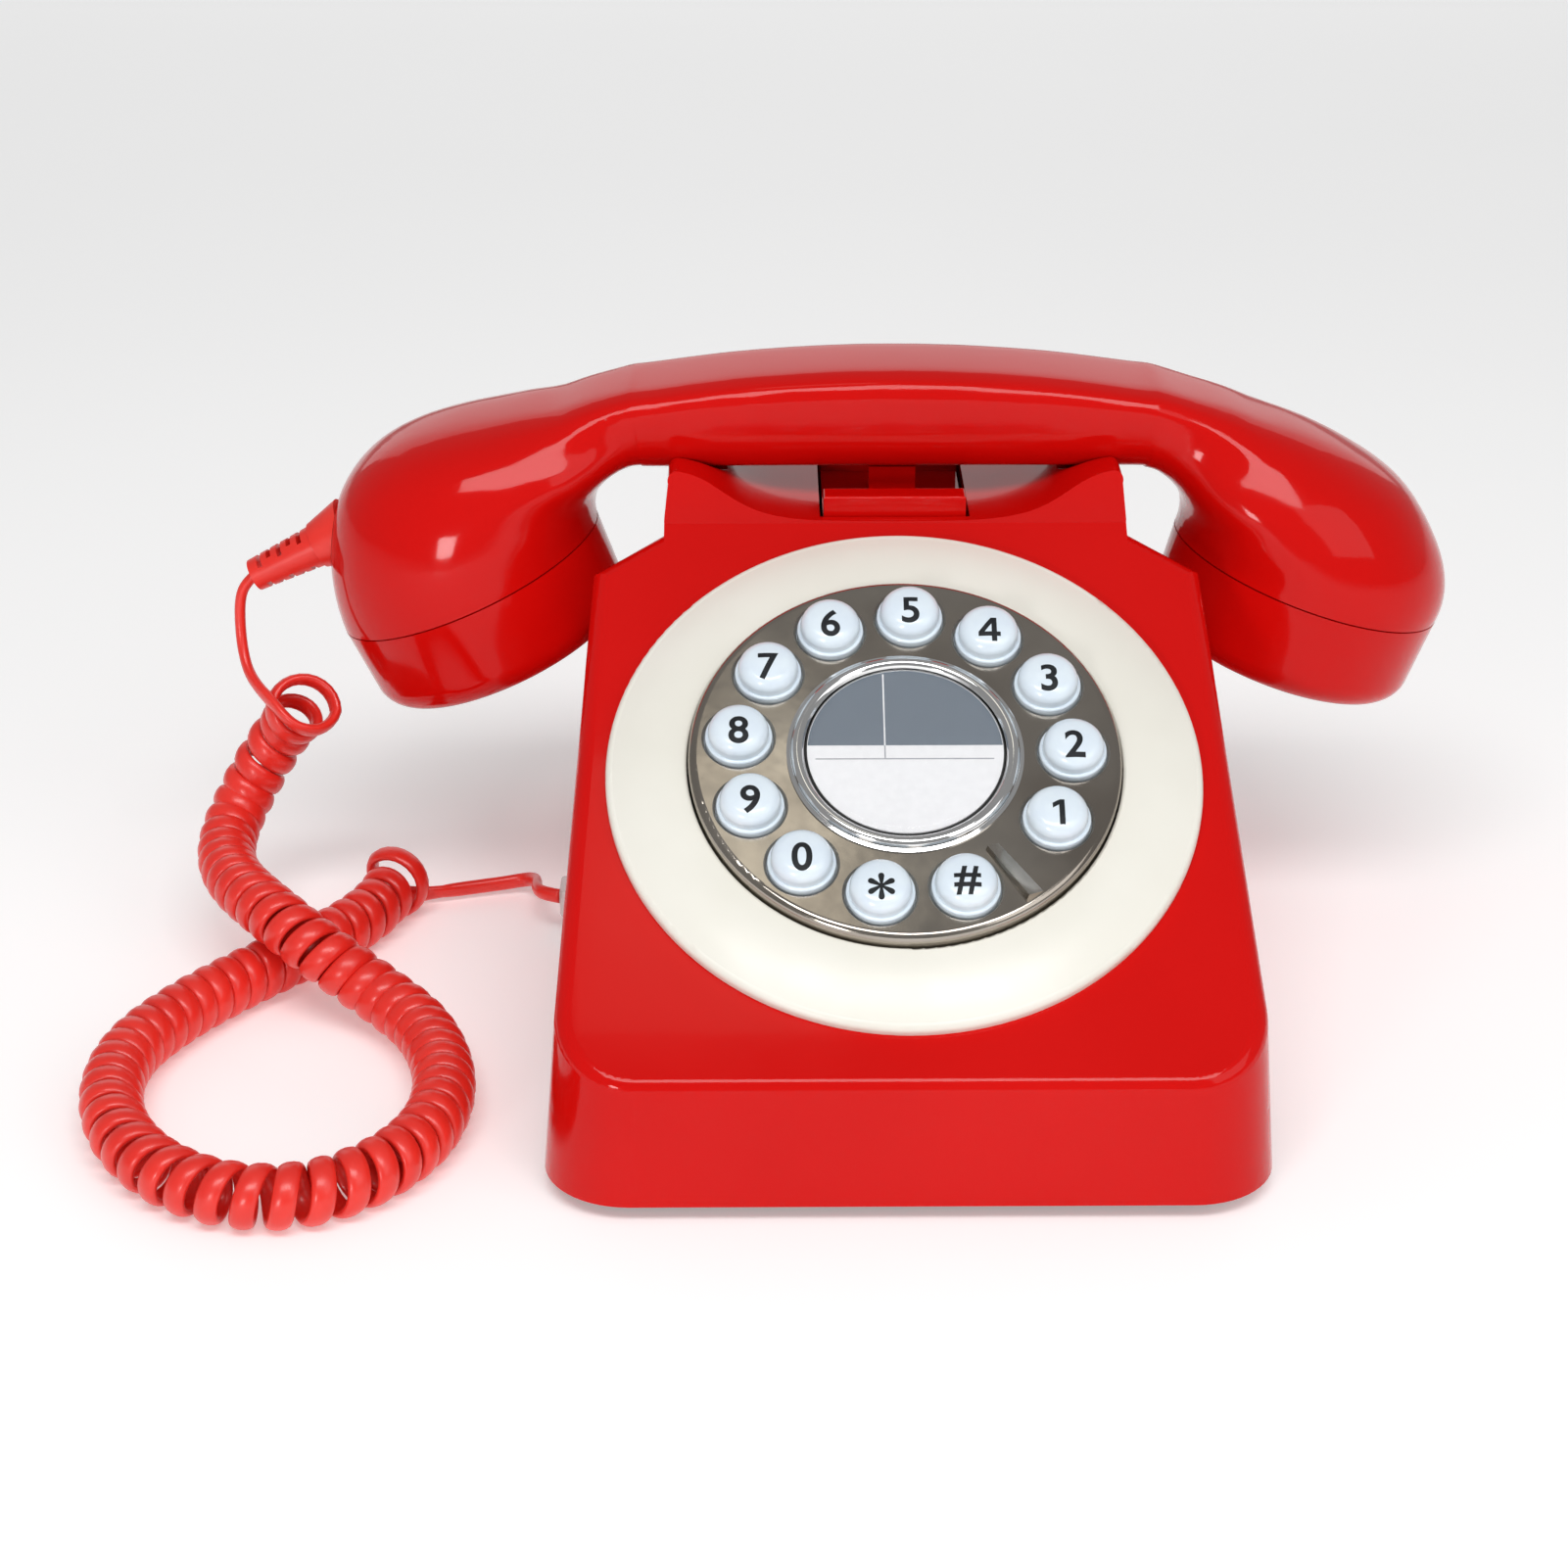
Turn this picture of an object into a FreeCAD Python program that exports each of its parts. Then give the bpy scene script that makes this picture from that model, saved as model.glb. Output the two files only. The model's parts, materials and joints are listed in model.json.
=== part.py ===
"""Desk telephone with twelve push keys set in a ring, a lift-off handset and a curly cord.

Row frame: +X to the right as the user sees it, +Y to the rear, +Z up, origin on the floor under the middle.
Lengths are in millimetres and angles in degrees. The dial parts are drawn in the dial's own frame, whose
origin is the dial's middle on the sloping front and whose +Z is that slope's outward normal.
"""
import FreeCAD, Part
import math
import os
import re
from FreeCAD import Placement, Rotation, Vector

DRIVING = (
    # alias, value, meaning
    ("base_width", 141.2, "case width at its bottom edge"),
    ("base_depth", 208.0, "case depth at its bottom edge"),
    ("base_clearance", 3.5, "floor to the case's bottom edge"),
    ("case_wall", 2.8, "thickness of the case's walls"),
    ("side_lean", 4.85, "lean of the side walls, degrees"),
    ("front_lean", 3.4, "lean of the front lip, degrees"),
    ("rear_lean", 6.0, "lean of the rear wall, degrees"),
    ("corner_radius", 17.0, "plan radius of the case's corners at the bottom"),
    ("slope_angle", 31.66, "angle of the sloping front above level, degrees"),
    ("lip_height", 29.1, "top of the front lip above the floor"),
    ("lip_front", 102.5, "distance of the lip's top edge ahead of the origin"),
    ("dial_up_slope", 69.8, "lip edge to the dial's middle, along the slope"),
    ("edge_radius", 3.5, "rounding of the sloping front's edges"),
    ("neck_half_width", 48.6, "half the width of the cradle neck"),
    ("neck_front", 11.0, "front face of the neck at the crease"),
    ("neck_rear", 60.0, "rear face of the neck"),
    ("horn_height", 110.2, "top of the cradle horns"),
    ("valley_height", 99.6, "low middle of the neck's front edge"),
    ("handset_y", 35.0, "middle plane of the handset at rest"),
    ("handle_bottom", 105.6, "underside of the handle at rest"),
    ("saddle_height", 105.3, "saddles that carry the handle"),
    ("bezel_radius", 59.3, "outer radius of the cream bezel"),
    ("plate_radius", 42.8, "outer radius of the key plate"),
    ("plate_top", 7.6, "key plate's face above the slope"),
    ("plate_floor", 0.2, "key plate's bottom edge above the slope"),
    ("plate_web", 1.5, "thickness of the key plate's face"),
    ("plate_skirt", 1.4, "thickness of the key plate's side wall"),
    ("key_ring", 33.0, "radius of the circle of keys"),
    ("first_key", -28.607, "angle of key 1 from the right, degrees"),
    ("key_step", 28.877, "angle from one key to the next, degrees"),
    ("key_radius", 6.65, "radius of a key's foot at the plate"),
    ("key_dome", 6.05, "radius of a key above its foot"),
    ("key_hole", 6.95, "radius of a key's hole"),
    ("key_top", 12.6, "crown of a key above the slope"),
    ("key_flange", 7.9, "radius of the flange that keeps a key in"),
    ("key_stem", 2.4, "radius of a key's stem"),
    ("ring_bore", 19.95, "bore of the centre ring"),
    ("ring_radius", 23.4, "outer radius of the centre ring"),
    ("ring_top", 9.4, "top of the centre ring above the slope"),
    ("carrier_radius", 45.6, "radius of the key carrier"),
    ("carrier_floor", -1.8, "underside of the key carrier"),
    ("mat_floor", -8.0, "underside of the key mat"),
    ("mat_top", -6.8, "face of the key mat between its domes"),
    ("dome_top", -5.3, "tops of the key mat's domes"),
    ("board_thick", 1.6, "thickness of both circuit boards"),
    ("post_ring", 39.2, "radius of the circle of dial screws"),
    ("spigot_radius", 49.8, "outer radius of the bezel's spigot"),
    ("spigot_floor", -9.0, "bottom of the bezel's spigot"),
    ("plate_thick", 2.0, "thickness of the base plate"),
    ("foot_radius", 6.0, "radius of a rubber foot"),
    ("foot_x", 57.5, "feet either side of the middle"),
    ("foot_y", 92.5, "feet ahead of and behind the middle"),
    ("screw_x", 48.0, "base screws either side of the middle"),
    ("screw_y", 84.0, "base screws ahead of and behind the middle"),
    ("main_board_z", 12.0, "underside of the main board"),
    ("jack_y", 14.5, "handset socket behind the middle"),
    ("jack_z", 10.1, "middle height of the handset socket"),
    ("line_z", 12.6, "middle height of the line socket"),
    ("slider_x", 34.0, "ringer slider to the right of the middle"),
    ("slider_z", 14.0, "middle height of the ringer slider"),
    ("cup_radius", 30.5, "radius of the handset's cups at their caps"),
    ("cap_depth", 20.5, "depth of a cap below the cup's rim"),
    ("handset_wall", 2.6, "thickness of the handset's walls"),
    ("strand_radius", 1.4, "radius of the cord's strand"),
    ("coil_radius", 6.5, "outer radius of the curly cord"),
)
NAMES = [row[0] for row in DRIVING]

doc = FreeCAD.newDocument("Telephone")
sheet = doc.addObject("Spreadsheet::Sheet", "Dimensions")
for line, (alias, value, meaning) in enumerate(DRIVING, start=1):
    sheet.set("A%d" % line, alias)
    sheet.set("B%d" % line, str(value))
    sheet.set("C%d" % line, meaning)
    sheet.setAlias("B%d" % line, alias)
doc.recompute()

NODES = []


# ---------------------------------------------------------------- helpers

def dim(alias):
    """The number in one cell of the sheet."""
    return float(sheet.get(alias))


def tangent(degrees):
    return math.tan(math.radians(degrees))


def bound(formula):
    """A formula on aliases, with each alias pointed at the sheet."""
    def point_at_sheet(match):
        word = match.group()
        return "Dimensions." + word if word in NAMES else word
    return re.sub(r"[a-z_]+", point_at_sheet, str(formula))


def primitive(kind, name, x="0", y="0", z="0", turn=None, **sizes):
    """A Part primitive whose sizes and place are formulas on the sheet."""
    item = doc.addObject("Part::" + kind, name)
    for size, formula in sizes.items():
        item.setExpression(size, bound(formula))
    if turn is not None:
        item.Placement = Placement(Vector(0, 0, 0), turn)
    for axis, formula in (("x", x), ("y", y), ("z", z)):
        item.setExpression("Placement.Base." + axis, bound(formula))
    return item


def disc(name, radius, bottom, top, x="0", y="0"):
    """A cylinder along Z from bottom to top."""
    height = "(%s) - (%s)" % (top, bottom)
    return primitive("Cylinder", name, x=x, y=y, z=bottom, Radius=radius, Height=height)


def block(name, x, y, z):
    """A box given by its low and high formulas along each axis."""
    lengths = ["(%s) - (%s)" % (high, low) for low, high in (x, y, z)]
    return primitive("Box", name, x=x[0], y=y[0], z=z[0], Length=lengths[0], Width=lengths[1], Height=lengths[2])


def fuse(name, *items):
    item = doc.addObject("Part::MultiFuse", name)
    item.Shapes = list(items)
    item.Refine = True
    return item


def group(name, *items):
    """Separate solids kept in one object."""
    item = doc.addObject("Part::Compound", name)
    item.Links = list(items)
    return item


def cut(name, base, *tools):
    item = doc.addObject("Part::Cut", name)
    item.Base = base
    item.Tool = tools[0] if len(tools) == 1 else group(name + "_tools", *tools)
    return item


def feature(name, shape):
    """A sub-part whose shape is worked out here from the sheet's sizes."""
    item = doc.addObject("Part::Feature", name)
    item.Shape = shape
    return item


def node(label, item, frame=None):
    """Names a finished sub-part and puts it in its frame."""
    item.Label = label
    if frame is not None:
        item.Placement = frame
    NODES.append(item)
    return item


def arc(start, middle, end):
    return Part.Arc(start, middle, end)


def line(start, end):
    return Part.LineSegment(start, end)


def crown(radius, edge, top):
    """A shallow arc in the XZ plane from an edge to the Z axis, square to that axis where it meets it."""
    rise = top - edge
    bend = (radius**2 + rise**2) / (2 * rise)
    half = math.asin(radius / abs(bend)) / 2
    halfway = Vector(abs(bend) * math.sin(half), 0, top - bend + bend * math.cos(half))
    return arc(Vector(radius, 0, edge), halfway, Vector(0, 0, top))


def turned(segments):
    """A solid of revolution about Z from a closed outline in the XZ plane."""
    face = Part.Face(Part.Wire([segment.toShape() for segment in segments]))
    return face.revolve(Vector(0, 0, 0), Vector(0, 0, 1), 360)


def outline(*points):
    """Straight segments through (radius, height) points, closed at the end."""
    corners = [Vector(radius, 0, height) for radius, height in points]
    return [line(a, b) for a, b in zip(corners, corners[1:] + corners[:1])]


def prism(points, sweep, x=None, y=None):
    """A polygon in the YZ plane at x, or in the XZ plane at y, swept along a vector."""
    if y is None:
        corners = [Vector(x, a, b) for a, b in points]
    else:
        corners = [Vector(a, y, b) for a, b in points]
    return Part.Face(Part.makePolygon(corners + corners[:1])).extrude(sweep)


def middle(edge):
    return edge.valueAt((edge.FirstParameter + edge.LastParameter) / 2)


def slot(x, y, z):
    """A plain box from low and high numbers along each axis."""
    return Part.makeBox(x[1] - x[0], y[1] - y[0], z[1] - z[0], Vector(x[0], y[0], z[0]))


# ---------------------------------------------------------------- the dial's frame

SLOPE = math.radians(dim("slope_angle"))
UP_SLOPE = Vector(0, math.cos(SLOPE), math.sin(SLOPE))
NORMAL = Vector(0, -math.sin(SLOPE), math.cos(SLOPE))
LIP = Vector(0, -dim("lip_front"), dim("lip_height"))
DIAL_MIDDLE = LIP + UP_SLOPE * dim("dial_up_slope")
DIAL = Placement(DIAL_MIDDLE, Rotation(Vector(1, 0, 0), dim("slope_angle")))


def slope_height(y):
    """Height of the sloping front's plane at a depth."""
    return dim("lip_height") + (y + dim("lip_front")) * tangent(dim("slope_angle"))


# ---------------------------------------------------------------- case

SHOULDER = Vector(63.0, 1.0, 93.0)       # outer end of a shoulder line
SHOULDER_RUN = Vector(-13.0, 8.0, 5.0)   # from there towards the neck
STEEP_DROP = Vector(0, 24.5, -35.0)      # first fall behind a shoulder
REAR_FALL = 0.35                         # gentle fall of the side roofs to the rear
SPINE_TOP = 70.0                         # roof height just behind the neck
SPINE_END = 29.0                         # the same roof's height beyond the rear wall
BEYOND = 120.0                           # far enough to clear the case


def tapered_block(inset, bottom):
    """The case's four leaning walls, moved inwards by inset."""
    wires = []
    for height in (bottom, 125.0):
        rise = height - dim("base_clearance")
        half_width = dim("base_width") / 2 - rise * tangent(dim("side_lean")) - inset
        front = -dim("base_depth") / 2 + rise * tangent(dim("front_lean")) + inset
        rear = dim("base_depth") / 2 - rise * tangent(dim("rear_lean")) - inset
        radius = dim("corner_radius") - rise * 0.03 - inset
        cut_in = radius * (1 - math.sqrt(0.5))
        low_x, high_x = -half_width, half_width
        corners = [
            Vector(low_x + radius, front, height), Vector(high_x - radius, front, height),
            Vector(high_x, front + radius, height), Vector(high_x, rear - radius, height),
            Vector(high_x - radius, rear, height), Vector(low_x + radius, rear, height),
            Vector(low_x, rear - radius, height), Vector(low_x, front + radius, height),
        ]
        halfways = [
            Vector(high_x - cut_in, front + cut_in, height), Vector(high_x - cut_in, rear - cut_in, height),
            Vector(low_x + cut_in, rear - cut_in, height), Vector(low_x + cut_in, front + cut_in, height),
        ]
        edges = []
        for side in range(4):
            start, end, after = corners[2 * side], corners[2 * side + 1], corners[(2 * side + 2) % 8]
            edges.append(line(start, end))
            edges.append(arc(end, halfways[side], after))
        wires.append(Part.Wire([edge.toShape() for edge in edges]))
    return Part.makeLoft(wires, True, True)


def wedge(inset, bottom):
    """The case below its neck: lip, sloping front, shoulders and rear roofs."""
    sink = inset / math.cos(SLOPE)
    crest = slope_height(12.0) - sink
    profile = (
        (-BEYOND, 0.0), (BEYOND, 0.0), (BEYOND, SPINE_END - inset), (dim("neck_rear"), SPINE_TOP - inset),
        (dim("neck_rear"), crest), (12.0, crest), (-BEYOND, slope_height(-BEYOND) - sink),
    )
    solid = tapered_block(inset, bottom).common(prism(profile, Vector(200, 0, 0), x=-100))
    reach = SHOULDER.x - dim("neck_half_width") + inset
    outward = 17.0
    for side in (-1, 1):
        scale = outward / SHOULDER_RUN.x
        start = SHOULDER + SHOULDER_RUN * scale
        y = start.y - 0.9 * inset
        z = start.z - 0.6 * inset
        low = (y + STEEP_DROP.y, z + STEEP_DROP.z)
        profile = (
            (y, z), low, (low[0] + BEYOND, low[1] - BEYOND * REAR_FALL), (low[0] + BEYOND, z + 70), (y, z + 70),
        )
        run = SHOULDER_RUN * ((outward + reach) / -SHOULDER_RUN.x)
        sweep = Vector(side * run.x, run.y, run.z)
        solid = solid.cut(prism(profile, sweep, x=side * start.x))
    return solid


def rounded_front(solid):
    """Rounds the edges of the sloping front, from the lip up to the shoulders."""
    def on_slope(point):
        return abs(point.z - slope_height(point.y)) < 0.05
    edges = []
    for edge in solid.Edges:
        on_plane = on_slope(middle(edge)) and all(on_slope(vertex.Point) for vertex in edge.Vertexes)
        if on_plane and middle(edge).y < 9.9:
            edges.append(edge)
    return solid.makeFillet(dim("edge_radius"), edges)


def neck_profile():
    """Front view of the neck: upright sides, horns and the valley between them."""
    half = dim("neck_half_width")
    horn = dim("horn_height")
    valley = dim("valley_height")
    right = [(45.6, horn), (43.4, horn - 0.5), (40.0, 108.3), (36.0, 105.7), (30.0, 102.3), (22.0, 100.3), (11.0, 99.7)]
    points = [Vector(x, 0, z) for x, z in right] + [Vector(0, 0, valley)]
    points += [Vector(-x, 0, z) for x, z in reversed(right)]
    top = Part.BSplineCurve()
    top.interpolate(points)
    floor = 60.0
    outer = [(half - 0.9, 107.6), (half, 100.0), (half, floor)]
    edges = [top]
    last = points[0]
    crown = Vector(47.2, 0, 109.6)
    edges.append(arc(last, crown, Vector(outer[0][0], 0, outer[0][1])))
    chain = [Vector(x, 0, z) for x, z in outer] + [Vector(-x, 0, z) for x, z in reversed(outer)]
    edges += [line(a, b) for a, b in zip(chain, chain[1:])]
    edges.append(arc(chain[-1], Vector(-crown.x, 0, crown.z), points[-1]))
    return Part.Face(Part.Wire(Part.sortEdges([edge.toShape() for edge in edges])[0]))


def neck():
    """The cradle neck with its four horns, saddles and bar pocket."""
    front = dim("neck_front")
    rear = dim("neck_rear")
    across = neck_profile()
    across.translate(Vector(0, -20, 0))
    shape = across.extrude(Vector(0, 120, 0))
    side_view = ((front - 2.6, 60), (front, 98), (front + 2.0, 112), (rear - 2.5, 112), (rear - 0.5, 98), (rear, 60))
    shape = shape.common(prism(side_view, Vector(120, 0, 0), x=-60))
    y = dim("handset_y")
    saddle = dim("saddle_height")
    groove = [
        arc(Vector(-60, y - 13.6, 111), Vector(-60, y - 11.2, 107.4), Vector(-60, y - 6, saddle)),
        line(Vector(-60, y - 6, saddle), Vector(-60, y + 6, saddle)),
        arc(Vector(-60, y + 6, saddle), Vector(-60, y + 11.2, 107.4), Vector(-60, y + 13.6, 111)),
        line(Vector(-60, y + 13.6, 111), Vector(-60, y + 13.6, 120)),
        line(Vector(-60, y + 13.6, 120), Vector(-60, y - 13.6, 120)),
        line(Vector(-60, y - 13.6, 120), Vector(-60, y - 13.6, 111)),
    ]
    trough = Part.Face(Part.Wire([edge.toShape() for edge in groove])).extrude(Vector(120, 0, 0))
    return shape.cut(trough)


POCKET_FLOOR = 86.0
POCKET_BASE = 83.0
POCKET_X = 15.8
POCKET_Y = (13.6, 56.4)
GRIP_X = 27.0
GRIP_Z = (69.5, 81.5)
GRIP_DEPTH = 11.0
STEM_HOLE = 3.4


def case_cavity():
    """The hollow inside the case, up into the neck."""
    wall = dim("case_wall")
    half = dim("neck_half_width") - wall
    front = dim("neck_front") + wall + 0.7
    rear = dim("neck_rear") - wall
    hollow = wedge(wall, dim("base_clearance") - 1.0)
    hollow = hollow.fuse(slot((-half, half), (front, rear - 0.6), (60.0, POCKET_BASE)))
    for low, high in ((-half, -19.5), (19.5, half)):
        hollow = hollow.fuse(slot((low, high), (front, rear - 1.6), (80.0, 96.4)))
    above = slot((-60, 60), (front, rear), (POCKET_BASE, 120))
    kept = slot((-half, -19.5), (front, rear), (80, 96.4)).fuse(slot((19.5, half), (front, rear), (80, 96.4)))
    hollow = hollow.cut(above.cut(kept))
    side_cut = slot((dim("neck_half_width") - wall, 60), (front, 120), (POCKET_BASE, 120))
    grip_wall = slot(
        (-GRIP_X - wall, GRIP_X + wall),
        (rear + wall - GRIP_DEPTH - wall, rear + 10),
        (GRIP_Z[0] - wall, POCKET_BASE + 1),
    )
    return hollow.cut(side_cut).cut(grip_wall)


def bosses():
    """Four screw posts from the base plate up into the case, before they are trimmed to its outside."""
    posts = []
    for x in (-dim("screw_x"), dim("screw_x")):
        for y in (-dim("screw_y"), dim("screw_y")):
            bottom = dim("base_clearance") + dim("plate_thick")
            posts.append(Part.makeCylinder(4.2, 60, Vector(x, y, bottom)))
    return posts


def case_shell():
    body = rounded_front(wedge(0.0, dim("base_clearance")))
    outside = body.fuse(neck()).removeSplitter()
    shell = outside.cut(case_cavity())
    for post in bosses():
        shell = shell.fuse(post.common(outside))
    for x in (-dim("screw_x"), dim("screw_x")):
        for y in (-dim("screw_y"), dim("screw_y")):
            shell = shell.cut(Part.makeCylinder(1.35, 16, Vector(x, y, 0)))
    opening = Part.makeCylinder(dim("spigot_radius") + 0.2, 14, Vector(0, 0, -10))
    opening.Placement = DIAL
    shell = shell.cut(opening)
    shell = shell.cut(slot((-POCKET_X, POCKET_X), POCKET_Y, (POCKET_FLOOR, 120)))
    shell = shell.cut(Part.makeCylinder(STEM_HOLE, 20, Vector(0, dim("handset_y"), POCKET_BASE - 5)))
    grip = slot((-GRIP_X, GRIP_X), (dim("neck_rear") - GRIP_DEPTH, dim("neck_rear") + 20), GRIP_Z)
    shell = shell.cut(grip)
    line_z = dim("line_z")
    shell = shell.cut(slot((-7.3, 7.3), (90, 110), (line_z - 6.8, line_z + 6.8)))
    jack_y = dim("jack_y")
    shell = shell.cut(slot((-80, -60), (jack_y - 6.2, jack_y + 6.2), (0, dim("jack_z") + 5.0)))
    slider = slot(
        (dim("slider_x") - 6.2, dim("slider_x") + 6.2), (95, 110), (dim("slider_z") - 2.1, dim("slider_z") + 2.1)
    )
    return shell.cut(slider)


# ---------------------------------------------------------------- underside

BOARD_POSTS = [(x, y) for x in (-44, 44) for y in (24, 70)]   # posts that carry the main board


def base_plate():
    """Flat steel-grey plate inside the case's bottom edge, with posts for the main board."""
    bottom = dim("base_clearance")
    top = bottom + dim("plate_thick")
    gap = dim("case_wall") + 0.5
    block_in = tapered_block(gap, bottom - 1)
    plate = block_in.common(slot((-90, 90), (-120, 120), (bottom, top)))
    for x, y in BOARD_POSTS:
        plate = plate.fuse(Part.makeCylinder(3, dim("main_board_z") - top, Vector(x, y, top)))
        plate = plate.cut(Part.makeCylinder(1.0, 5, Vector(x, y, dim("main_board_z") - 5)))
    for x in (-dim("screw_x"), dim("screw_x")):
        for y in (-dim("screw_y"), dim("screw_y")):
            plate = plate.cut(Part.makeCylinder(1.6, 9, Vector(x, y, 0)))
    for step in range(-3, 4):
        width = 14 - 2 * abs(step)
        plate = plate.cut(slot((-width, width), (-63 + step * 4.5, -61 + step * 4.5), (0, top + 1)))
    return plate


def corner_spots(half_x, half_y):
    """Formulas for the four mirrored places of a foot or screw."""
    return [(sx + half_x, sy + half_y) for sx in ("", "-") for sy in ("", "-")]


def rubber_feet():
    feet = []
    for index, (x, y) in enumerate(corner_spots("foot_x", "foot_y")):
        name = "foot_%d" % index
        feet.append(primitive("Cone", name, x=x, y=y, Radius1="foot_radius - 1", Radius2="foot_radius",
                              Height="base_clearance"))
    return group("feet", *feet)


def base_screws():
    screws = []
    for index, (x, y) in enumerate(corner_spots("screw_x", "screw_y")):
        head = disc("base_head_%d" % index, "2.6", "base_clearance - 1.4", "base_clearance", x, y)
        shank = disc("base_shank_%d" % index, "1.3", "base_clearance", "base_clearance + 11", x, y)
        screws.append(fuse("base_screw_%d" % index, head, shank))
    return group("base_screw_set", *screws)


# ---------------------------------------------------------------- dial

def dial_bezel():
    """Crowned ring with a spigot that passes through the slope."""
    rim = dim("bezel_radius")
    bore = dim("plate_radius") + 0.3
    inner = dim("carrier_radius") + 0.2
    spigot = dim("spigot_radius")
    floor = dim("spigot_floor")
    step = dim("plate_floor")

    def at(radius, height):
        return Vector(radius, 0, height)
    parts = [
        line(at(spigot, floor), at(spigot, 0)),
        line(at(spigot, 0), at(rim, 0)),
        line(at(rim, 0), at(rim, 0.9)),
        arc(at(rim, 0.9), at(rim - 0.42, 1.85), at(rim - 1.4, 2.3)),
        arc(at(rim - 1.4, 2.3), at(51.5, 4.3), at(bore + 0.6, 5.2)),
        arc(at(bore + 0.6, 5.2), at(bore + 0.2, 5.05), at(bore, 4.6)),
        line(at(bore, 4.6), at(bore, step)),
        line(at(bore, step), at(inner, step)),
        line(at(inner, step), at(inner, floor)),
        line(at(inner, floor), at(spigot, floor)),
    ]
    ring = turned(parts)
    for turn in (90, 210, 330):
        hole = Part.makeCylinder(0.95, 6, Vector(47.8, 0, floor))
        hole.rotate(Vector(0, 0, 0), Vector(0, 0, 1), turn)
        ring = ring.cut(hole)
    return ring


def key_angle(index):
    return "first_key + %d * key_step" % index


def ring_spot(radius, angle):
    """Formulas for a point on a circle in the dial's plane."""
    return "(%s) * cos((%s) * 1deg)" % (radius, angle), "(%s) * sin((%s) * 1deg)" % (radius, angle)


POST_STEPS = (1.5, 4.5, 7.5, 10.5)     # dial screws stand midway between keys, counted in key steps


def post_spots():
    return [ring_spot("post_ring", "first_key + %s * key_step" % step) for step in POST_STEPS]


def dial_plate():
    """Chrome cup with twelve key holes, a middle hole and a rounded shoulder."""
    rim = dim("plate_radius")
    top = dim("plate_top")
    floor = dim("plate_floor")
    under = top - dim("plate_web")
    skirt = rim - dim("plate_skirt")
    bore = dim("ring_bore")

    def at(radius, height):
        return Vector(radius, 0, height)
    parts = [
        line(at(rim, floor), at(rim, top - 1.8)),
        arc(at(rim, top - 1.8), at(rim - 0.5, top - 0.5), at(rim - 1.8, top)),
        line(at(rim - 1.8, top), at(bore, top)),
        line(at(bore, top), at(bore, under)),
        line(at(bore, under), at(skirt, under)),
        line(at(skirt, under), at(skirt, floor)),
        line(at(skirt, floor), at(rim, floor)),
    ]
    plate = turned(parts)
    for step in POST_STEPS:
        turn = dim("first_key") + step * dim("key_step")
        post = Part.makeCylinder(2.3, under - floor + 0.5, Vector(dim("post_ring"), 0, floor))
        post = post.cut(Part.makeCylinder(1.0, under - floor - 0.6, Vector(dim("post_ring"), 0, floor)))
        post.rotate(Vector(0, 0, 0), Vector(0, 0, 1), turn)
        plate = plate.fuse(post.common(turned(outline((0, floor), (rim - 0.4, floor), (rim - 0.4, top), (0, top)))))
    for index in range(12):
        turn = dim("first_key") + index * dim("key_step")
        hole = Part.makeCylinder(dim("key_hole"), 10, Vector(dim("key_ring"), 0, under - 1))
        lead_in = Part.makeCone(dim("key_hole"), dim("key_hole") + 0.5, 0.5, Vector(dim("key_ring"), 0, top - 0.45))
        tool = hole.fuse(lead_in)
        tool.rotate(Vector(0, 0, 0), Vector(0, 0, 1), turn)
        plate = plate.cut(tool)
    return plate


def centre_ring():
    """Polished bead standing on the key plate round the middle button."""
    bore = dim("ring_bore")
    rim = dim("ring_radius")
    foot = dim("plate_top")
    top = dim("ring_top")

    def at(radius, height):
        return Vector(radius, 0, height)
    parts = [
        line(at(bore, foot), at(rim, foot)),
        line(at(rim, foot), at(rim, foot + 0.35)),
        line(at(rim, foot + 0.35), at(rim - 0.7, foot + 0.55)),
        arc(at(rim - 0.7, foot + 0.55), at(bore + 1.5, top), at(bore + 0.35, top - 0.45)),
        line(at(bore + 0.35, top - 0.45), at(bore, top - 0.9)),
        line(at(bore, top - 0.9), at(bore, foot)),
    ]
    return turned(parts)


STOP_INNER = Vector(15.1, -22.6, 0)
STOP_OUTER = Vector(22.5, -34.0, 0)
STOP_WIDE = Vector(3.6, 2.6, 0)


def finger_stop():
    """Moulded ridge with a long ramp on the side of key 1."""
    foot = dim("plate_top")
    along = STOP_OUTER - STOP_INNER
    across = Vector(-along.y, along.x, 0)
    across.normalize()
    crest = 1.7

    def section(spot, scale):
        back = spot - across * 0.30
        ridge = spot + across * 0.10
        toe = spot + across * (3.6 * scale)
        base = Vector(0, 0, foot)
        points = [back + base, ridge + base + Vector(0, 0, crest * scale), toe + base]
        return Part.makePolygon(points + points[:1])
    return Part.makeLoft([section(STOP_INNER, 0.75), section(STOP_OUTER, 1.0)], True, True)


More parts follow.
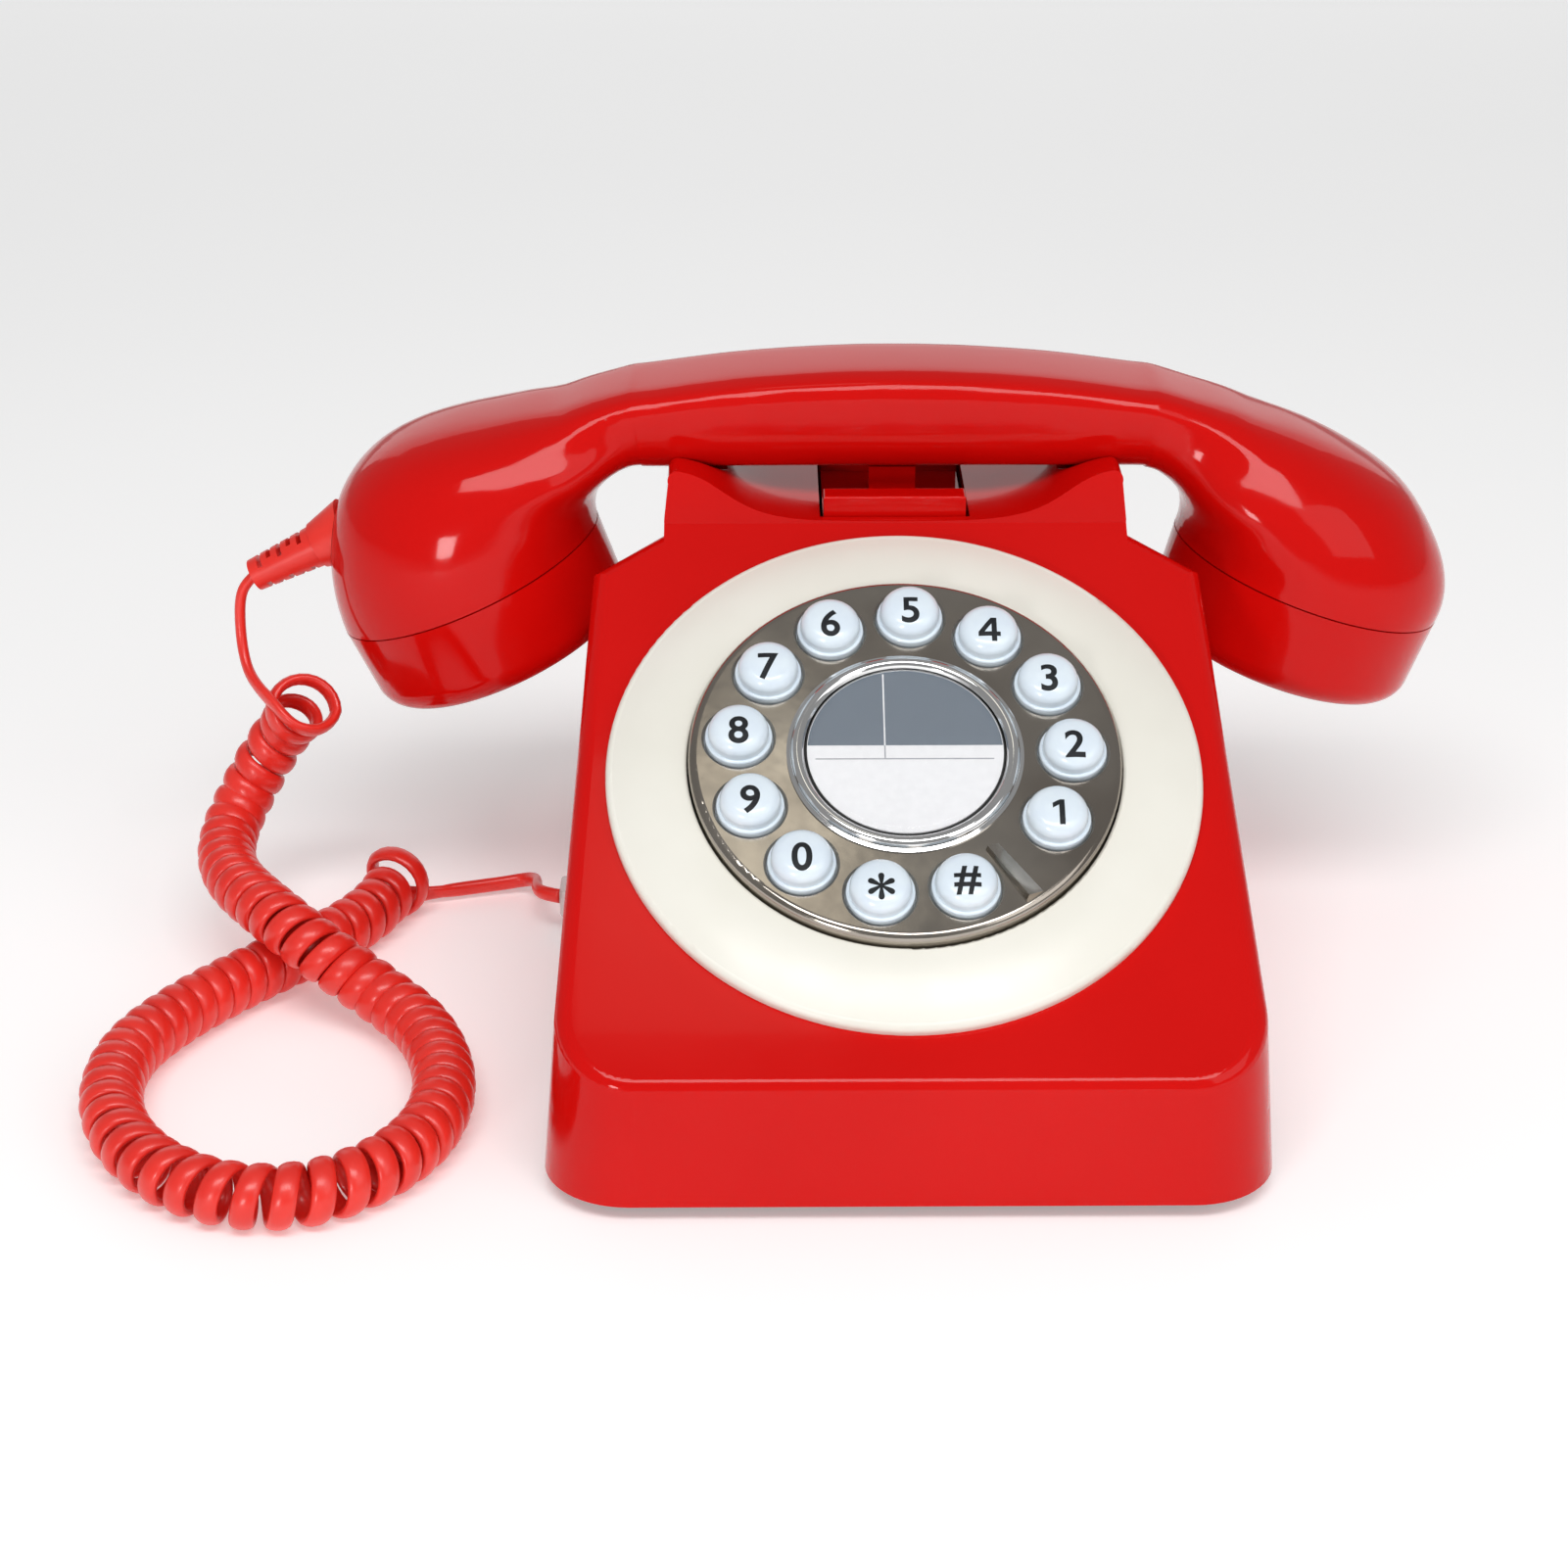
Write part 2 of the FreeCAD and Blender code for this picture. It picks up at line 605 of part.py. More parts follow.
def key_solid():
    """One domed key standing on its own axis."""
    side = dim("key_dome")
    foot = dim("key_radius")
    step = dim("plate_top") + 0.5
    top = dim("key_top")
    under = dim("plate_top") - dim("plate_web")
    flange_top = under - 0.3
    flange_bottom = flange_top - 1.4
    stem = dim("key_stem")

    def at(radius, height):
        return Vector(radius, 0, height)
    parts = [
        line(at(0, -3.2), at(stem, -3.2)),
        line(at(stem, -3.2), at(stem, flange_bottom)),
        line(at(stem, flange_bottom), at(dim("key_flange"), flange_bottom)),
        line(at(dim("key_flange"), flange_bottom), at(dim("key_flange"), flange_top)),
        line(at(dim("key_flange"), flange_top), at(foot, flange_top)),
        line(at(foot, flange_top), at(foot, step)),
        arc(at(foot, step), at(foot - 0.12, step + 0.28), at(foot - 0.4, step + 0.4)),
        line(at(foot - 0.4, step + 0.4), at(side, step + 0.4)),
        line(at(side, step + 0.4), at(side - 0.08, top - 2.6)),
        arc(at(side - 0.08, top - 2.6), at(side - 0.85, top - 1.1), at(side - 2.3, top - 0.4)),
        crown(side - 2.3, top - 0.4, top),
        line(at(0, top), at(0, -3.2)),
    ]
    return turned(parts)


KEY_NAMES = ("key_1", "key_2", "key_3", "key_4", "key_5", "key_6", "key_7", "key_8", "key_9",
             "key_0", "key_star", "key_hash")


def keys():
    """Twelve keys, one node each, turned into place round the dial."""
    shape = key_solid()
    for index, label in enumerate(KEY_NAMES):
        turn = math.radians(dim("first_key") + index * dim("key_step"))
        spot = Vector(math.cos(turn) * dim("key_ring"), math.sin(turn) * dim("key_ring"), 0)
        node(label, feature(label, shape.copy()), DIAL.multiply(Placement(spot, Rotation())))


def redial_button():
    web = disc("redial_web", "ring_bore - 0.25", "plate_top - plate_web - 1", "plate_top + 0.6")
    flange = disc("redial_flange", "ring_bore + 1.2", "plate_top - plate_web - 1.9", "plate_top - plate_web - 0.3")
    stem = disc("redial_stem", "4", "-3.2", "plate_top - plate_web - 1.9")
    return fuse("redial_solid", web, flange, stem)


def label_window():
    """Clear cover with a shallow crown over the printed disc."""
    low = dim("plate_top") + 0.9
    edge = dim("ring_bore") - 0.55

    def at(radius, height):
        return Vector(radius, 0, height)
    parts = [
        line(at(0, low), at(edge, low)),
        line(at(edge, low), at(edge, low + 0.5)),
        crown(edge, low + 0.5, low + 1.1),
        line(at(0, low + 1.1), at(0, low)),
    ]
    return turned(parts)


def key_carrier():
    """Disc that guides every stem, with four posts down to the keypad board."""
    plate = disc("carrier_disc", "carrier_radius", "carrier_floor", "plate_floor")
    tubes = [plate]
    holes = [disc("carrier_middle_hole", "4.25", "carrier_floor - 1", "5")]
    for index in range(12):
        x, y = ring_spot("key_ring", key_angle(index))
        tubes.append(disc("guide_%d" % index, "key_stem + 1.4", "carrier_floor", "plate_floor + 2.2", x, y))
        holes.append(disc("guide_hole_%d" % index, "key_stem + 0.2", "carrier_floor - 1", "5", x, y))
    for index, (x, y) in enumerate(post_spots()):
        tubes.append(disc("carrier_post_%d" % index, "1.9", "mat_floor", "carrier_floor", x, y))
        holes.append(disc("carrier_post_hole_%d" % index, "1.2", "mat_floor - 1", "5", x, y))
    return cut("carrier_solid", fuse("carrier_blank", *tubes), *holes)


def key_mat():
    """Silicone sheet with one dome under each stem."""
    items = [disc("mat_sheet", "36.9", "mat_floor", "mat_top")]
    spots = [("0", "0", "5", "4")]
    for index in range(12):
        x, y = ring_spot("key_ring", key_angle(index))
        spots.append((x, y, "3.2", "2.2"))
    for index, (x, y, wide, narrow) in enumerate(spots):
        items.append(primitive("Cone", "mat_dome_%d" % index, x=x, y=y, z="mat_top", Radius1=wide, Radius2=narrow,
                               Height="dome_top - mat_top"))
    return fuse("mat_solid", *items)


def keypad_board():
    sheet_disc = disc("keypad_disc", "41.4", "mat_floor - board_thick", "mat_floor")
    holes = [disc("keypad_hole_%d" % index, "1.2", "mat_floor - 3", "0", x, y)
             for index, (x, y) in enumerate(post_spots())]
    return cut("keypad_solid", sheet_disc, *holes)


def dial_screws():
    screws = []
    floor = "mat_floor - board_thick"
    for index, (x, y) in enumerate(post_spots()):
        head = disc("dial_head_%d" % index, "1.9", floor + " - 1.3", floor, x, y)
        shank = disc("dial_shank_%d" % index, "0.95", floor, "plate_floor + 5.0", x, y)
        screws.append(fuse("dial_screw_%d" % index, head, shank))
    return group("dial_screw_set", *screws)


def clamp_ring():
    """Ring inside the case that pulls the bezel down on the slope."""
    floor = dim("spigot_floor")
    under = -dim("case_wall") - 0.05
    inner = dim("spigot_radius") + 0.3
    ring = turned(outline((46.1, floor - 2), (55, floor - 2), (55, under), (inner, under), (inner, floor), (46.1, floor)))
    for turn in (90, 210, 330):
        hole = Part.makeCylinder(1.1, 4, Vector(47.8, 0, floor - 3))
        hole.rotate(Vector(0, 0, 0), Vector(0, 0, 1), turn)
        ring = ring.cut(hole)
    return ring


def clamp_screws():
    screws = []
    for index, turn in enumerate(("90", "210", "330")):
        x, y = ring_spot("47.8", turn)
        head = disc("clamp_head_%d" % index, "1.6", "spigot_floor - 3.2", "spigot_floor - 2", x, y)
        shank = disc("clamp_shank_%d" % index, "0.9", "spigot_floor - 2", "spigot_floor + 5.5", x, y)
        screws.append(fuse("clamp_screw_%d" % index, head, shank))
    return group("clamp_screw_set", *screws)


# ---------------------------------------------------------------- hook

YOKE_HALF = 15.0
YOKE_BASE = 95.0
YOKE_TOP = 104.0
YOKE_STEM_END = 42.0
SPRING_X = 10.0
SPRING_COIL = 2.2
SPRING_WIRE = 0.45
SPRING_TURNS = 4
SPRING_STEPS = 10


def hook_yoke():
    """Bar across the cradle in front and behind, joined under the handle, with a long stem down to the switch."""
    y = dim("handset_y")
    front = POCKET_Y[0] + 0.6
    rear = POCKET_Y[1] - 0.6
    rails = []
    for low, high in ((front, front + 5.8), (rear - 5.8, rear)):
        rail = slot((-YOKE_HALF, YOKE_HALF), (low, high), (YOKE_BASE, YOKE_TOP))
        tops = [edge for edge in rail.Edges if abs(middle(edge).z - YOKE_TOP) < 0.01]
        rails.append(rail.makeFillet(0.6, tops))
    shape = rails[0].fuse(rails[1])
    shape = shape.fuse(slot((-YOKE_HALF, YOKE_HALF), (front, rear), (YOKE_BASE, YOKE_BASE + 2.5)))
    shape = shape.fuse(slot((-5, 5), (y - 5, y + 5), (YOKE_BASE, dim("saddle_height"))))
    shape = shape.fuse(Part.makeCylinder(3.2, YOKE_BASE - YOKE_STEM_END, Vector(0, y, YOKE_STEM_END)))
    return shape.fuse(Part.makeCylinder(5.0, 1.5, Vector(0, y, POCKET_BASE - 7.5)))


def hook_springs():
    """Two light coil springs under the yoke."""
    springs = []
    clear = SPRING_WIRE + 0.05
    low = POCKET_FLOOR + clear
    rise = YOKE_BASE - POCKET_FLOOR - 2 * clear
    steps = SPRING_TURNS * SPRING_STEPS
    for x in (-SPRING_X, SPRING_X):
        points = []
        for step in range(steps + 1):
            turn = 2 * math.pi * step / SPRING_STEPS
            across = Vector(SPRING_COIL * math.cos(turn), SPRING_COIL * math.sin(turn), rise * step / steps)
            points.append(Vector(x, dim("handset_y"), low) + across)
        curve = through(points, False)
        ring = Part.Wire(Part.makeCircle(SPRING_WIRE, points[0], curve.tangent(curve.FirstParameter)[0]))
        springs.append(Part.Wire(curve.toShape()).makePipeShell([ring], True, True))
    return Part.makeCompound(springs)


def hook_switch():
    y = "handset_y"
    body = block("switch_body", ("-12", "12"), (y + " - 6", y + " + 6"),
                 ("main_board_z + board_thick", "main_board_z + board_thick + 24"))
    button = disc("switch_button", "2", "main_board_z + board_thick + 24", "main_board_z + board_thick + 28.2", y=y)
    return fuse("hook_switch_solid", body, button)


# ---------------------------------------------------------------- electrics in the base

def main_board():
    top = "main_board_z + board_thick"
    sheet_box = block("board_sheet", ("-50", "50"), ("18", "76"), ("main_board_z", top))
    holes = []
    for index, (x, y) in enumerate(BOARD_POSTS):
        holes.append(disc("board_hole_%d" % index, "1.3", "main_board_z - 1", top + " + 1", str(x), str(y)))
    return cut("main_board_solid", sheet_box, *holes)


def board_screws():
    screws = []
    top = "main_board_z + board_thick"
    for index, (x, y) in enumerate(BOARD_POSTS):
        head = disc("board_head_%d" % index, "2.2", top, top + " + 1.4", str(x), str(y))
        shank = disc("board_shank_%d" % index, "0.95", "main_board_z - 4.5", top, str(x), str(y))
        screws.append(fuse("board_screw_%d" % index, head, shank))
    return group("board_screw_set", *screws)


BOARD_BOXES = (
    # name, x range, y range, height above the board
    ("transformer", (-38, -22), (50, 64), 13),
    ("relay", (-18, -6), (56, 74), 11),
    ("dialler_chip", (4, 24), (58, 66), 3.2),
    ("cable_header", (14, 32), (20, 25), 6),
    ("bridge", (30, 38), (48, 56), 5),
)
BOARD_CANS = (
    # name, x, y, radius, height above the board
    ("large_capacitor", 30, 70, 5, 12),
    ("small_capacitor", -30, 70, 3, 8),
    ("surge_arrester", -34, 38, 4, 7),
)


def board_parts():
    top = "main_board_z + board_thick"
    items = []
    for name, (low_x, high_x), (low_y, high_y), height in BOARD_BOXES:
        items.append(block(name, (low_x, high_x), (low_y, high_y), (top, "%s + %s" % (top, height))))
    for name, x, y, radius, height in BOARD_CANS:
        items.append(disc(name, radius, top, "%s + %s" % (top, height), str(x), str(y)))
    return group("board_part_set", *items)


def ribbon_cable():
    """Flat cable from the keypad board down to the header on the main board."""
    board = DIAL.multVec(Vector(0, 22, dim("mat_floor") - dim("board_thick")))
    thick = 0.8
    header_top = dim("main_board_z") + dim("board_thick") + 6.0
    points = [
        (board.y - 0.4, board.z - 0.6), (board.y + 6, board.z - 13), (22.5, header_top + 8), (22.5, header_top),
    ]
    upper = [(y + thick, z) for y, z in points]
    profile = points + list(reversed(upper))
    return prism(profile, Vector(16, 0, 0), x=15)


def ringer_speaker():
    cone = disc("speaker_frame", "20", "base_clearance + plate_thick", "base_clearance + plate_thick + 4", y="-62")
    magnet = disc("speaker_magnet", "11", "base_clearance + plate_thick + 4", "base_clearance + plate_thick + 11",
                  y="-62")
    return fuse("speaker_solid", cone, magnet)


def ballast_plate():
    floor = "base_clearance + plate_thick"
    return block("ballast_solid", ("-40", "40"), ("-36", "4"), (floor, floor + " + 3"))


def ringer_switch():
    x = dim("slider_x")
    z = dim("slider_z")
    body = slot((x - 9, x + 9), (88.5, 98.6), (z - 5, z + 5))
    return body.cut(slot((x - 6.5, x + 6.5), (94, 100), (z - 1.9, z + 1.9)))


def ringer_slider():
    x = dim("slider_x")
    z = dim("slider_z")
    foot = slot((x - 3.0, x + 3.0), (94.3, 98.2), (z - 1.7, z + 1.7))
    knob = slot((x - 2.0, x + 2.0), (98.2, 104.0), (z - 1.7, z + 1.7))
    shape = foot.fuse(knob)
    for offset in (-1.1, 0.0, 1.1):
        shape = shape.cut(slot((x + offset - 0.25, x + offset + 0.25), (103.6, 105), (z - 2, z + 2)))
    return shape


def line_jack():
    """Rear socket for the line cord, open to the rear."""
    z = dim("line_z")
    rear = dim("base_depth") / 2 - (z - dim("base_clearance")) * tangent(dim("rear_lean")) - 0.7
    body = slot((-7, 7), (rear - 14, rear), (z - 6.5, z + 6.5))
    body = body.cut(slot((-4.9, 4.9), (rear - 12, rear + 2), (z - 3.4, z + 3.2)))
    return body.cut(slot((-2.2, 2.2), (rear - 12, rear + 2), (z - 5.4, z - 3.4)))


PLUG_LENGTH = 12.0
PLUG_PROUD = 3.2
PLUG_HALF_Y = 3.85
PLUG_HALF_Z = 3.15


def case_side(height):
    """Distance of the side wall's outside from the middle at a height."""
    return dim("base_width") / 2 - (height - dim("base_clearance")) * tangent(dim("side_lean"))


def handset_jack():
    """Left socket that takes the handset cord's plug."""
    y = dim("jack_y")
    z = dim("jack_z")
    face = -case_side(z) + 0.6
    body = slot((face, face + 15), (y - 6, y + 6), (dim("base_clearance") + dim("plate_thick"), z + 4.8))
    hole = slot((face - 1, face + 10.5), (y - PLUG_HALF_Y - 0.15, y + PLUG_HALF_Y + 0.15),
                (z - PLUG_HALF_Z, z + PLUG_HALF_Z + 0.25))
    return body.cut(hole)


def cord_plug():
    """Small modular plug with its latch finger on top, pushed into the side socket."""
    y = dim("jack_y")
    z = dim("jack_z")
    start = -case_side(z) - PLUG_PROUD
    body = slot((start, start + PLUG_LENGTH), (y - PLUG_HALF_Y, y + PLUG_HALF_Y), (z - PLUG_HALF_Z, z + PLUG_HALF_Z))
    outer = [edge for edge in body.Edges if abs(middle(edge).x - start) < 0.01]
    return body.makeFillet(0.8, outer)


# ---------------------------------------------------------------- handset

CUPS = {
    # side: cap tilt, cup middle (x, z), then outline points (fan angle, reach) from the fan's pivot
    -1: (23.0, 92.0, 80.5, (
        (0.0, 27.0), (22.0, 26.9), (43.6, 29.9), (55.0, 35.6), (65.2, 43.4), (75.0, 55.2), (85.2, 65.0),
        (99.3, 71.1), (113.0, 73.95))),
    1: (18.0, 91.5, 80.0, (
        (0.0, 31.7), (24.7, 31.4), (48.7, 36.0), (62.0, 42.6), (74.4, 51.8), (82.6, 59.2), (92.9, 66.4),
        (101.0, 71.0), (108.0, 72.0))),
}
PIVOT_X = 52.0
HANDLE_HALF_DEPTH = 15.0
ARCH_TOP = 128.5
ARCH_FALL = 0.00152                    # the handle's top falls by this times x squared
SECTION_POINTS = 28
GROWTH = ((0, 0), (0.2, 0.05), (0.4, 0.26), (0.6, 0.58), (0.75, 0.81), (0.88, 0.95), (1, 1))
TAPER = ((0, 0.10), (0.2, 0.04), (0.4, -0.08), (0.6, -0.15), (0.8, -0.09), (1, 0))
TOP_POWER = ((0, 4.2), (0.3, 3.6), (0.6, 2.7), (0.8, 2.25), (1, 2))
LOW_POWER = ((0, 2.7), (0.4, 2.3), (0.7, 2.05), (1, 2))


def smooth(table, at):
    """Catmull-Rom value of a table of (place, value) pairs."""
    if at <= table[0][0]:
        return table[0][1]
    if at >= table[-1][0]:
        return table[-1][1]
    for index in range(len(table) - 1):
        x0, y0 = table[index]
        x1, y1 = table[index + 1]
        if at <= x1:
            before = table[max(index - 1, 0)]
            after = table[min(index + 2, len(table) - 1)]
            slope0 = (y1 - before[1]) / (x1 - before[0])
            slope1 = (after[1] - y0) / (after[0] - x0)
            width = x1 - x0
            u = (at - x0) / width
            rise = (2 * u**3 - 3 * u**2 + 1) * y0 + (3 * u**2 - 2 * u**3) * y1
            return rise + (u**3 - 2 * u**2 + u) * width * slope0 + (u**3 - u**2) * width * slope1
    return table[-1][1]


def fan(side):
    """Pivot height, fan angle of the cup's rim and reach of the rim's near and far edges."""
    tilt, cup_x, cup_z, _ = CUPS[side]
    run = cup_x - PIVOT_X
    pivot_z = cup_z + run * tangent(tilt)
    reach = run / math.cos(math.radians(tilt))
    return pivot_z, 90.0 + tilt, reach - dim("cup_radius"), reach + dim("cup_radius")


def section(low, high, half_depth, taper, top_power, low_power, inset):
    """Points round one cross-section, whose low and high ends are (x, z) points."""
    span = Vector(high[0] - low[0], 0, high[1] - low[1])
    half = span.Length / 2 - inset
    centre = Vector((low[0] + high[0]) / 2, dim("handset_y"), (low[1] + high[1]) / 2)
    span.normalize()
    points = []
    for index in range(SECTION_POINTS):
        turn = math.pi + 2 * math.pi * index / SECTION_POINTS
        along = math.cos(turn)
        power = top_power if along > 0 else low_power
        along = math.copysign(abs(along) ** (2 / power), along)
        sideways = math.copysign(abs(math.sin(turn)) ** (2 / power), math.sin(turn))
        if index == 0:
            sideways = 0.0
        depth = (half_depth - inset) * sideways * (1 + taper * along)
        points.append(centre + span * (half * along) + Vector(0, depth, 0))
    return points


def through(points, closed):
    """A cubic spline through points, spaced evenly in its parameter."""
    count = len(points) + (1 if closed else 0)
    curve = Part.BSplineCurve()
    curve.interpolate(Points=points, Parameters=[float(step) for step in range(count)], PeriodicFlag=closed)
    return curve


def skin(sections):
    """A closed solid whose smooth side passes through every section, with flat ends."""
    rounds = [through(points, True) for points in sections]
    columns = [through(list(column), False) for column in zip(*[curve.getPoles() for curve in rounds])]
    rows = [list(row) for row in zip(*[curve.getPoles() for curve in columns])]
    surface = Part.BSplineSurface()
    surface.buildFromPolesMultsKnots(
        rows, columns[0].getMultiplicities(), rounds[0].getMultiplicities(),
        columns[0].getKnots(), rounds[0].getKnots(), False, True, 3, 3)
    side = surface.toShape()
    rims = [edge for edge in side.Edges if edge.isClosed() and edge.BoundBox.XLength < PIVOT_X * 2]
    shell = Part.makeShell([side] + [Part.Face(Part.Wire(rim)) for rim in rims])
    shell.sewShape()
    return Part.Solid(shell)


def fan_section(side, angle, inset):
    """The cross-section of a cup at one fan angle."""
    pivot_z, rim_angle, near, _ = fan(side)
    reach = smooth(CUPS[side][3], angle)
    share = angle / rim_angle
    start = dim("handle_bottom") - pivot_z
    inner = start + (near - start) * share
    direction = (side * math.sin(math.radians(angle)), math.cos(math.radians(angle)))
    low = (side * PIVOT_X + direction[0] * inner, pivot_z + direction[1] * inner)
    high = (side * PIVOT_X + direction[0] * reach, pivot_z + direction[1] * reach)
    depth = HANDLE_HALF_DEPTH + (dim("cup_radius") - HANDLE_HALF_DEPTH) * smooth(GROWTH, share)
    return section(low, high, depth, smooth(TAPER, share), smooth(TOP_POWER, share), smooth(LOW_POWER, share), inset)


def handle_section(x, inset):
    """The handle's cross-section in an upright plane."""
    high = (x, ARCH_TOP - ARCH_FALL * x * x)
    low = (x, dim("handle_bottom"))
    return section(low, high, HANDLE_HALF_DEPTH, TAPER[0][1], TOP_POWER[0][1], LOW_POWER[0][1], inset)


FAN_STEPS = 13
HANDLE_STEPS = 8


def handset_solid(inset, past):
    """The handset from rim to rim, with its rims past the cap planes by some degrees."""
    wires = []
    for step in range(FAN_STEPS):
        rim = fan(-1)[1] + past
        wires.append(fan_section(-1, rim * (1 - step / FAN_STEPS), inset))
    for step in range(HANDLE_STEPS + 1):
        wires.append(handle_section(PIVOT_X * (2 * step / HANDLE_STEPS - 1), inset))
    for step in range(1, FAN_STEPS + 1):
        rim = fan(1)[1] + past
        wires.append(fan_section(1, rim * step / FAN_STEPS, inset))
    return skin(wires)


def cup_frame(side):
    """Placement whose +Z runs out of a cup along its cap's axis and whose origin is the rim's middle."""
    tilt, cup_x, cup_z, _ = CUPS[side]
    down = Vector(-side * math.sin(math.radians(tilt)), 0, -math.cos(math.radians(tilt)))
    return Placement(Vector(side * cup_x, dim("handset_y"), cup_z), Rotation(Vector(0, 0, 1), down))


def handset_shell():
    shell = handset_solid(0.0, 0.0).cut(handset_solid(dim("handset_wall"), 1.5))
    passage = Part.makeCylinder(2.0, 12, Vector(0, 0, -3))
    passage.Placement = BOOT_FRAME
    return shell.cut(passage)


SOUND_HOLE = 1.15
CAP_ROUNDING = 6.0


def cap(side, rings):
    """Screw cap: skirt, rounded edge, slightly dished face with sound holes, and a neck up into the cup."""
    rim = dim("cup_radius")
    depth = dim("cap_depth")
    wall = dim("handset_wall")
    neck_radius = rim - wall - 1.0
    neck_end = -3.5
    gap = 0.3
    inside = rim - wall - 2.6

    def at(radius, height):
        return Vector(radius, 0, height)
    bend = CAP_ROUNDING * (1 - math.sqrt(0.5))
    inner_bend = CAP_ROUNDING - wall
    face = depth
    parts = [
        line(at(neck_radius, neck_end), at(neck_radius, gap)),
        line(at(neck_radius, gap), at(rim, gap)),
        line(at(rim, gap), at(rim - 0.7, face - CAP_ROUNDING)),
        arc(at(rim - 0.7, face - CAP_ROUNDING), at(rim - 0.7 - bend, face - bend), at(rim - 0.7 - CAP_ROUNDING, face)),
        crown(rim - 0.7 - CAP_ROUNDING, face, face - 1.1),
        line(at(0, face - 1.1), at(0, face - 1.1 - wall)),
        line(at(0, face - 1.1 - wall), at(inside - inner_bend, face - 1.1 - wall)),
        arc(at(inside - inner_bend, face - 1.1 - wall),
            at(inside - inner_bend * (1 - math.sqrt(0.5)), face - 1.1 - wall - inner_bend * (1 - math.sqrt(0.5))),
            at(inside, face - 1.1 - wall - inner_bend)),
        line(at(inside, face - 1.1 - wall - inner_bend), at(inside, neck_end)),
        line(at(inside, neck_end), at(neck_radius, neck_end)),
    ]
    solid = turned(parts)
    holes = [Part.makeCylinder(SOUND_HOLE, 12, Vector(0, 0, face - 8))]
    for radius, count in rings:
        for index in range(count):
            turn = 2 * math.pi * index / count
            spot = Vector(radius * math.cos(turn), radius * math.sin(turn), face - 8)
            holes.append(Part.makeCylinder(SOUND_HOLE, 12, spot))
    return solid.cut(Part.makeCompound(holes))


def handset_wires():
    """Bundle of wires from the microphone over the weight to the receiver."""
    points = [(-84, 86), (-69, 107), (-46, 120.6), (46, 120.6), (69, 104), (84, 84)]
    corners = [Vector(x, dim("handset_y"), z) for x, z in points]
    return tube(corners, 1.5)


# ---------------------------------------------------------------- cord

def tube(points, radius):
    """A round tube along straight runs joined by tangent arcs, with its volume and radii printed."""
    edges = []
    length = 0.0
    radii = []
    last = points[0]
    for before, corner, after in zip(points, points[1:], points[2:]):
        inward = corner - before
        outward = after - corner
        turn = inward.getAngle(outward)
        trim = 0.45 * min(inward.Length, outward.Length)
        bend = trim / math.tan(turn / 2)
        radii.append(bend)
        start = corner - inward.normalize() * trim
        end = corner + outward.normalize() * trim
        halfway = corner + (outward - inward).normalize() * (bend / math.cos(turn / 2) - bend)
        edges.append(line(last, start).toShape())
        edges.append(arc(start, halfway, end).toShape())
        length += (start - last).Length + bend * turn
        last = end
    edges.append(line(last, points[-1]).toShape())
    length += (points[-1] - last).Length
    path = Part.Wire(edges)
    heading = points[1] - points[0]
    ring = Part.Wire(Part.makeCircle(radius, points[0], heading))
    solid = path.makePipeShell([ring], True, False)
    expected = math.pi * radius**2 * length
    print("tube radius %.2f length %.1f volume ratio %.4f least bend %.1f" % (
        radius, length, solid.Volume / expected, min(radii)))
    return solid


BOOT_START = Vector(-124.6, 35.0, 86.2)
BOOT_END = Vector(-139.4, 35.0, 79.0)
BOOT_FRAME = Placement(BOOT_START, Rotation(Vector(0, 0, 1), BOOT_END - BOOT_START))
BOOT_LENGTH = (BOOT_END - BOOT_START).Length

LEAD_ROUTE = (
    (-139.4, 35.0, 79.0), (-141.7, 35.0, 77.0), (-143.1, 34.9, 73.4), (-143.4, 34.4, 68.0), (-143.0, 32.8, 62.6),
    (-141.6, 29.8, 58.2), (-138.8, 26.2, 55.6), (-135.4, 22.4, 53.8), (-131.8, 19.1, 51.2),
)
COIL_ROUTE = (
    (-128.0, 22.5, 53.0), (-130.5, 27.0, 49.8), (-134.0, 30.3, 45.0), (-138.3, 31.0, 38.6), (-141.8, 30.5, 32.8),
    (-145.0, 28.5, 27.0), (-147.2, 22.5, 22.8), (-146.6, 11.5, 21.0), (-142.5, -0.5, 21.5), (-136.5, -10.0, 21.5),
    (-129.5, -18.5, 20.5), (-122.5, -24.0, 17.5), (-115.0, -27.0, 13.0), (-107.5, -30.5, 9.0), (-99.0, -39.0, 7.0),
    (-93.5, -53.0, 6.6), (-91.5, -68.0, 6.6), (-94.0, -83.0, 6.6), (-102.0, -96.0, 6.6), (-114.5, -104.5, 6.6),
    (-129.0, -104.5, 6.6), (-143.0, -96.5, 6.6), (-153.5, -83.0, 6.6), (-159.0, -66.5, 6.6), (-158.5, -49.0, 6.6),
    (-151.0, -33.0, 6.6), (-140.5, -18.5, 6.6), (-129.0, -5.5, 6.6), (-119.0, 7.0, 6.6), (-113.0, 19.0, 7.0),
    (-110.3, 30.0, 8.0),
)
TAIL_ROUTE = (
    (-110.3, 30.0, 2.6), (-105.5, 30.6, 2.8), (-99.5, 32.6, 2.7), (-93.0, 34.6, 2.7), (-87.0, 36.0, 2.9),
    (-82.4, 36.4, 3.6), (-80.0, 32.4, 5.4), (-79.2, 26.5, 7.4), (-79.0, 20.5, 9.2), (-77.2, 15.8, 10.2),
    (-73.3, 14.5, 10.1),
)


def route(points):
    return [Vector(*point) for point in points]


